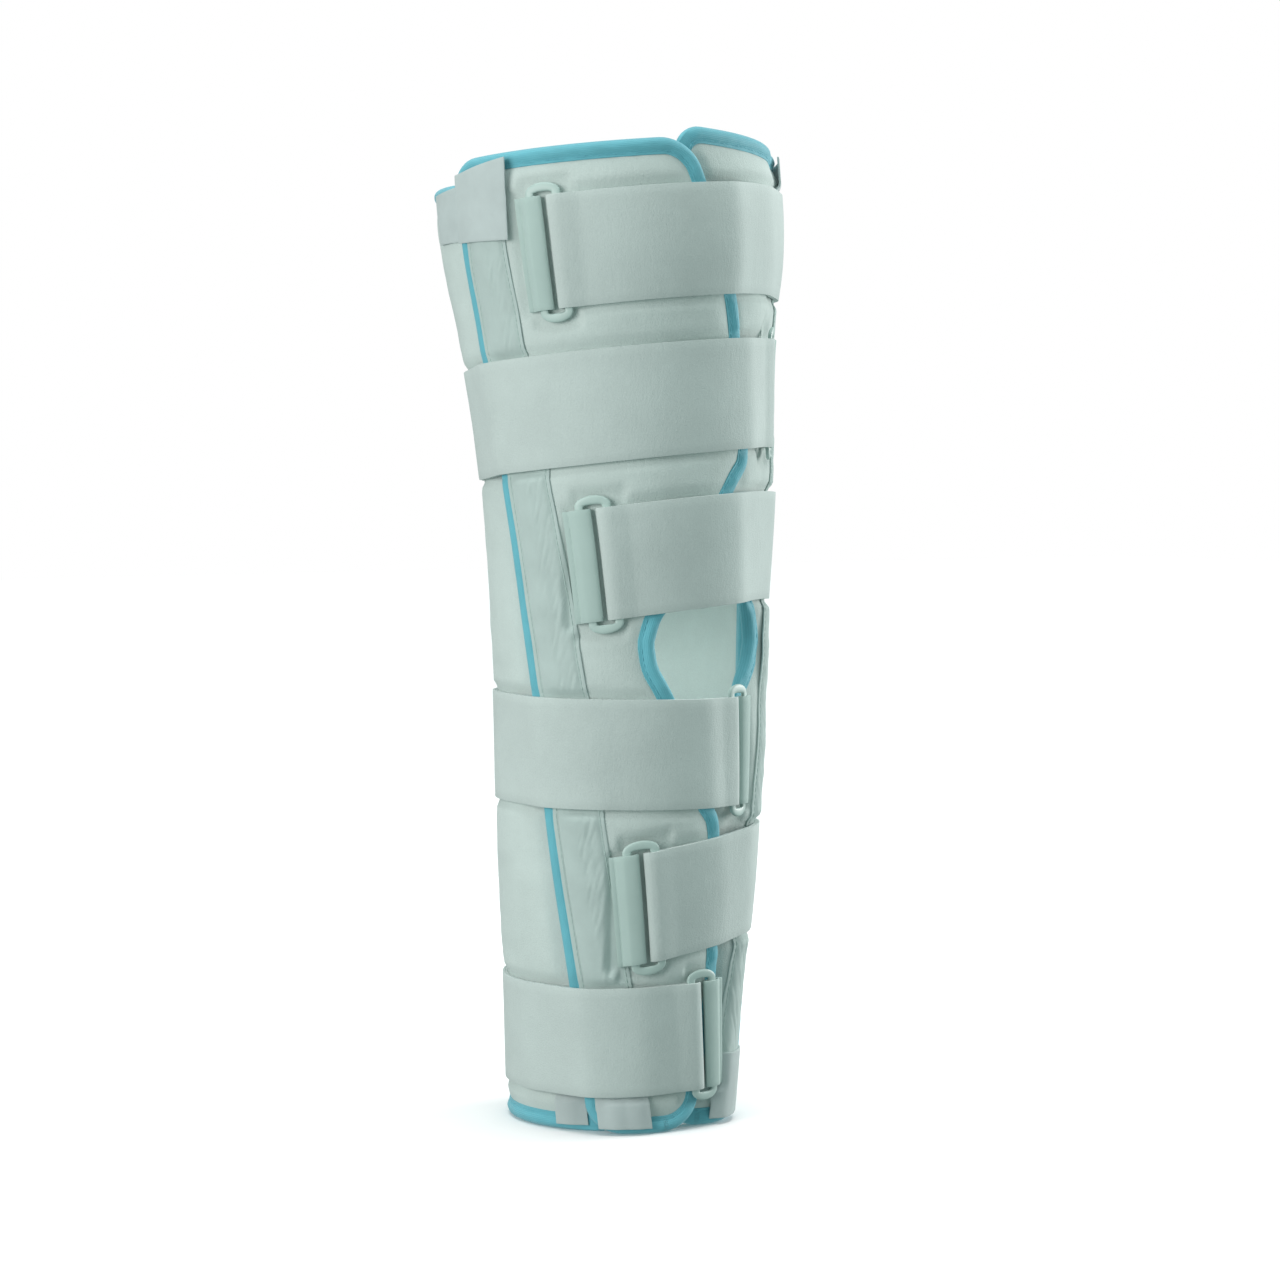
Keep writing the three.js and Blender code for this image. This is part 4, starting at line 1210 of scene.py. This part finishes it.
class BRACE_OT_tabs(bpy.types.Operator):
    """Sews the tabs over the pockets' ends and beside them on the back panel"""

    bl_idname = "brace.tabs"
    bl_label = "Tabs"

    def execute(self, context):
        for side in SIDES:
            top = tab_top(side, True)
            upper = (top - TOP_TAB_LENGTH, top - TOP_TAB_DROP)
            lower = (TAB_EDGE_INSET, TAB_EDGE_INSET + BOTTOM_TAB_LENGTH)
            back_upper = (top - TOP_TAB_LENGTH + BACK_TAB_RISE, BACK_TOP - 1)
            tabs = [
                (f"{side}_top_tab", upper, TOP_TAB_INSET, TOP_TAB_WIDTH, 1.5),
                (f"{side}_bottom_tab", lower, BOTTOM_TAB_INSET, BOTTOM_TAB_WIDTH, 0.5),
                (f"back_{side}_top_tab", back_upper, -BACK_TAB_GAP, -BACK_TOP_TAB_WIDTH, 0.3),
                (f"back_{side}_bottom_tab", lower, -BACK_TAB_GAP, -BACK_BOTTOM_TAB_WIDTH, 0.3),
            ]
            for i, (node, heights, inset, width, lift) in enumerate(tabs):
                tab = make_tab(f"{node}_cloth", side, heights, inset, width, lift, 70 + i)
                place_piece(tab, MATERIALS["tab cloth"], "tab_cloth", node)
        return {"FINISHED"}


class BRACE_OT_straps(bpy.types.Operator):
    """Lays the six straps with their rings and loops"""

    bl_idname = "brace.straps"
    bl_label = "Straps and rings"

    def execute(self, context):
        for index, row in enumerate(STRAPS, start=1):
            run = StrapRun(row)
            place_piece(make_strap(index, run), MATERIALS["strap cloth"], "strap_webbing", f"strap_{index}")
            place_piece(make_ring(index, run), MATERIALS["ring plastic"], "ring_plastic", f"ring_{index}")
            loop = make_loop(index, run)
            place_piece(loop, MATERIALS["loop webbing"], "loop_webbing", f"ring_loop_{index}")
            place_piece(loop_stitches(index, run), MATERIALS["pale thread"], "loop_webbing")
        return {"FINISHED"}


class BRACE_OT_stage(bpy.types.Operator):
    """Sets the pale floor, the soft lights and the camera"""

    bl_idname = "brace.stage"
    bl_label = "Stage"

    def execute(self, context):
        scene = context.scene
        deselect_all()
        bpy.ops.mesh.primitive_plane_add(size=14, location=(0, 0, 0))
        floor = bpy.context.object
        floor.name = "studio_floor"
        floor.visible_diffuse = False
        floor.visible_glossy = False
        material, tree, shader = new_material("studio floor")
        shader.inputs["Base Color"].default_value = (0.93, 0.93, 0.93, 1)
        shader.inputs["Roughness"].default_value = 1.0
        shader.inputs["Specular IOR Level"].default_value = 0.0
        floor.data.materials.append(material)

        # A white room that lights the brace more softly than it looks.
        world = bpy.data.worlds.new("studio")
        world.use_nodes = True
        tree = world.node_tree
        seen = tree.nodes["Background"]
        seen.inputs["Color"].default_value = (1, 1, 1, 1)
        seen.inputs["Strength"].default_value = 1.0
        fill = tree.nodes.new("ShaderNodeBackground")
        fill.inputs["Color"].default_value = (0.84, 1.0, 0.985, 1)
        fill.inputs["Strength"].default_value = 0.435
        path = tree.nodes.new("ShaderNodeLightPath")
        mix = tree.nodes.new("ShaderNodeMixShader")
        tree.links.new(path.outputs["Is Camera Ray"], mix.inputs["Fac"])
        tree.links.new(fill.outputs["Background"], mix.inputs[1])
        tree.links.new(seen.outputs["Background"], mix.inputs[2])
        tree.links.new(mix.outputs["Shader"], tree.nodes["World Output"].inputs["Surface"])
        scene.world = world
        scene.view_settings.view_transform = "Standard"

        def soft_light(name, bearing, rise, distance, size, power):
            toward = math.radians(bearing)
            place_at = (
                distance * math.sin(toward) * math.cos(math.radians(rise)),
                -distance * math.cos(toward) * math.cos(math.radians(rise)),
                0.23 + distance * math.sin(math.radians(rise)),
            )
            bpy.ops.object.light_add(type="AREA", location=place_at)
            light = bpy.context.object
            light.name = name
            light.data.shape = "DISK"
            light.data.size = size
            light.data.energy = power
            light.rotation_euler = (math.radians(90 - rise), 0, toward)
            light.visible_camera = False
            return light

        key = soft_light("left softbox", -82, 10, 1.7, 1.1, 19.5)
        key.data.color = (1.0, 0.93, 0.93)
        rim = soft_light("right softbox", 80, 8, 1.6, 0.9, 23)
        rim.data.color = (1.0, 0.95, 0.95)

        bpy.ops.object.light_add(type="SUN", location=(0, 0, 2))
        top = bpy.context.object
        top.name = "top light"
        top.data.energy = 2.3
        top.data.angle = math.radians(50)

        bpy.ops.object.light_add(type="POINT", location=(0, 0, 0.2))
        inner = bpy.context.object
        inner.name = "inner light"
        inner.data.energy = 0.052
        inner.data.shadow_soft_size = 0.02
        inner.visible_camera = False

        bpy.ops.object.camera_add(
            location=CAMERA_AT, rotation=(math.radians(CAMERA_TILT), 0, math.radians(CAMERA_TURN))
        )
        camera = bpy.context.object
        camera.name = "view camera"
        camera.data.lens = CAMERA_LENS
        camera.data.sensor_width = 36
        camera.data.sensor_fit = "HORIZONTAL"
        scene.camera = camera
        return {"FINISHED"}


STEPS = ("stage", "panels", "bindings", "pockets", "tabs", "straps")


class BRACE_PT_sidebar(bpy.types.Panel):
    """Lists the brace's sizes, colours and steps"""

    bl_label = "Knee immobilizer"
    bl_idname = "BRACE_PT_sidebar"
    bl_space_type = "VIEW_3D"
    bl_region_type = "UI"
    bl_category = "Brace"

    def draw(self, context):
        layout = self.layout
        for group in (context.scene.brace_sizes, context.scene.brace_colours):
            for name in group.__annotations__:
                layout.prop(group, name)
        for step in STEPS:
            layout.operator(f"brace.{step}")


CLASSES = (
    BraceSizes,
    BraceColours,
    BRACE_OT_stage,
    BRACE_OT_panels,
    BRACE_OT_bindings,
    BRACE_OT_pockets,
    BRACE_OT_tabs,
    BRACE_OT_straps,
    BRACE_PT_sidebar,
)


def register():
    for cls in CLASSES:
        bpy.utils.register_class(cls)
    bpy.types.Scene.brace_sizes = bpy.props.PointerProperty(type=BraceSizes)
    bpy.types.Scene.brace_colours = bpy.props.PointerProperty(type=BraceColours)


def unregister():
    del bpy.types.Scene.brace_colours
    del bpy.types.Scene.brace_sizes
    for cls in reversed(CLASSES):
        bpy.utils.unregister_class(cls)


def main():
    register()
    make_materials()
    for step in STEPS:
        getattr(bpy.ops.brace, step)()


if __name__ == "__main__":
    main()
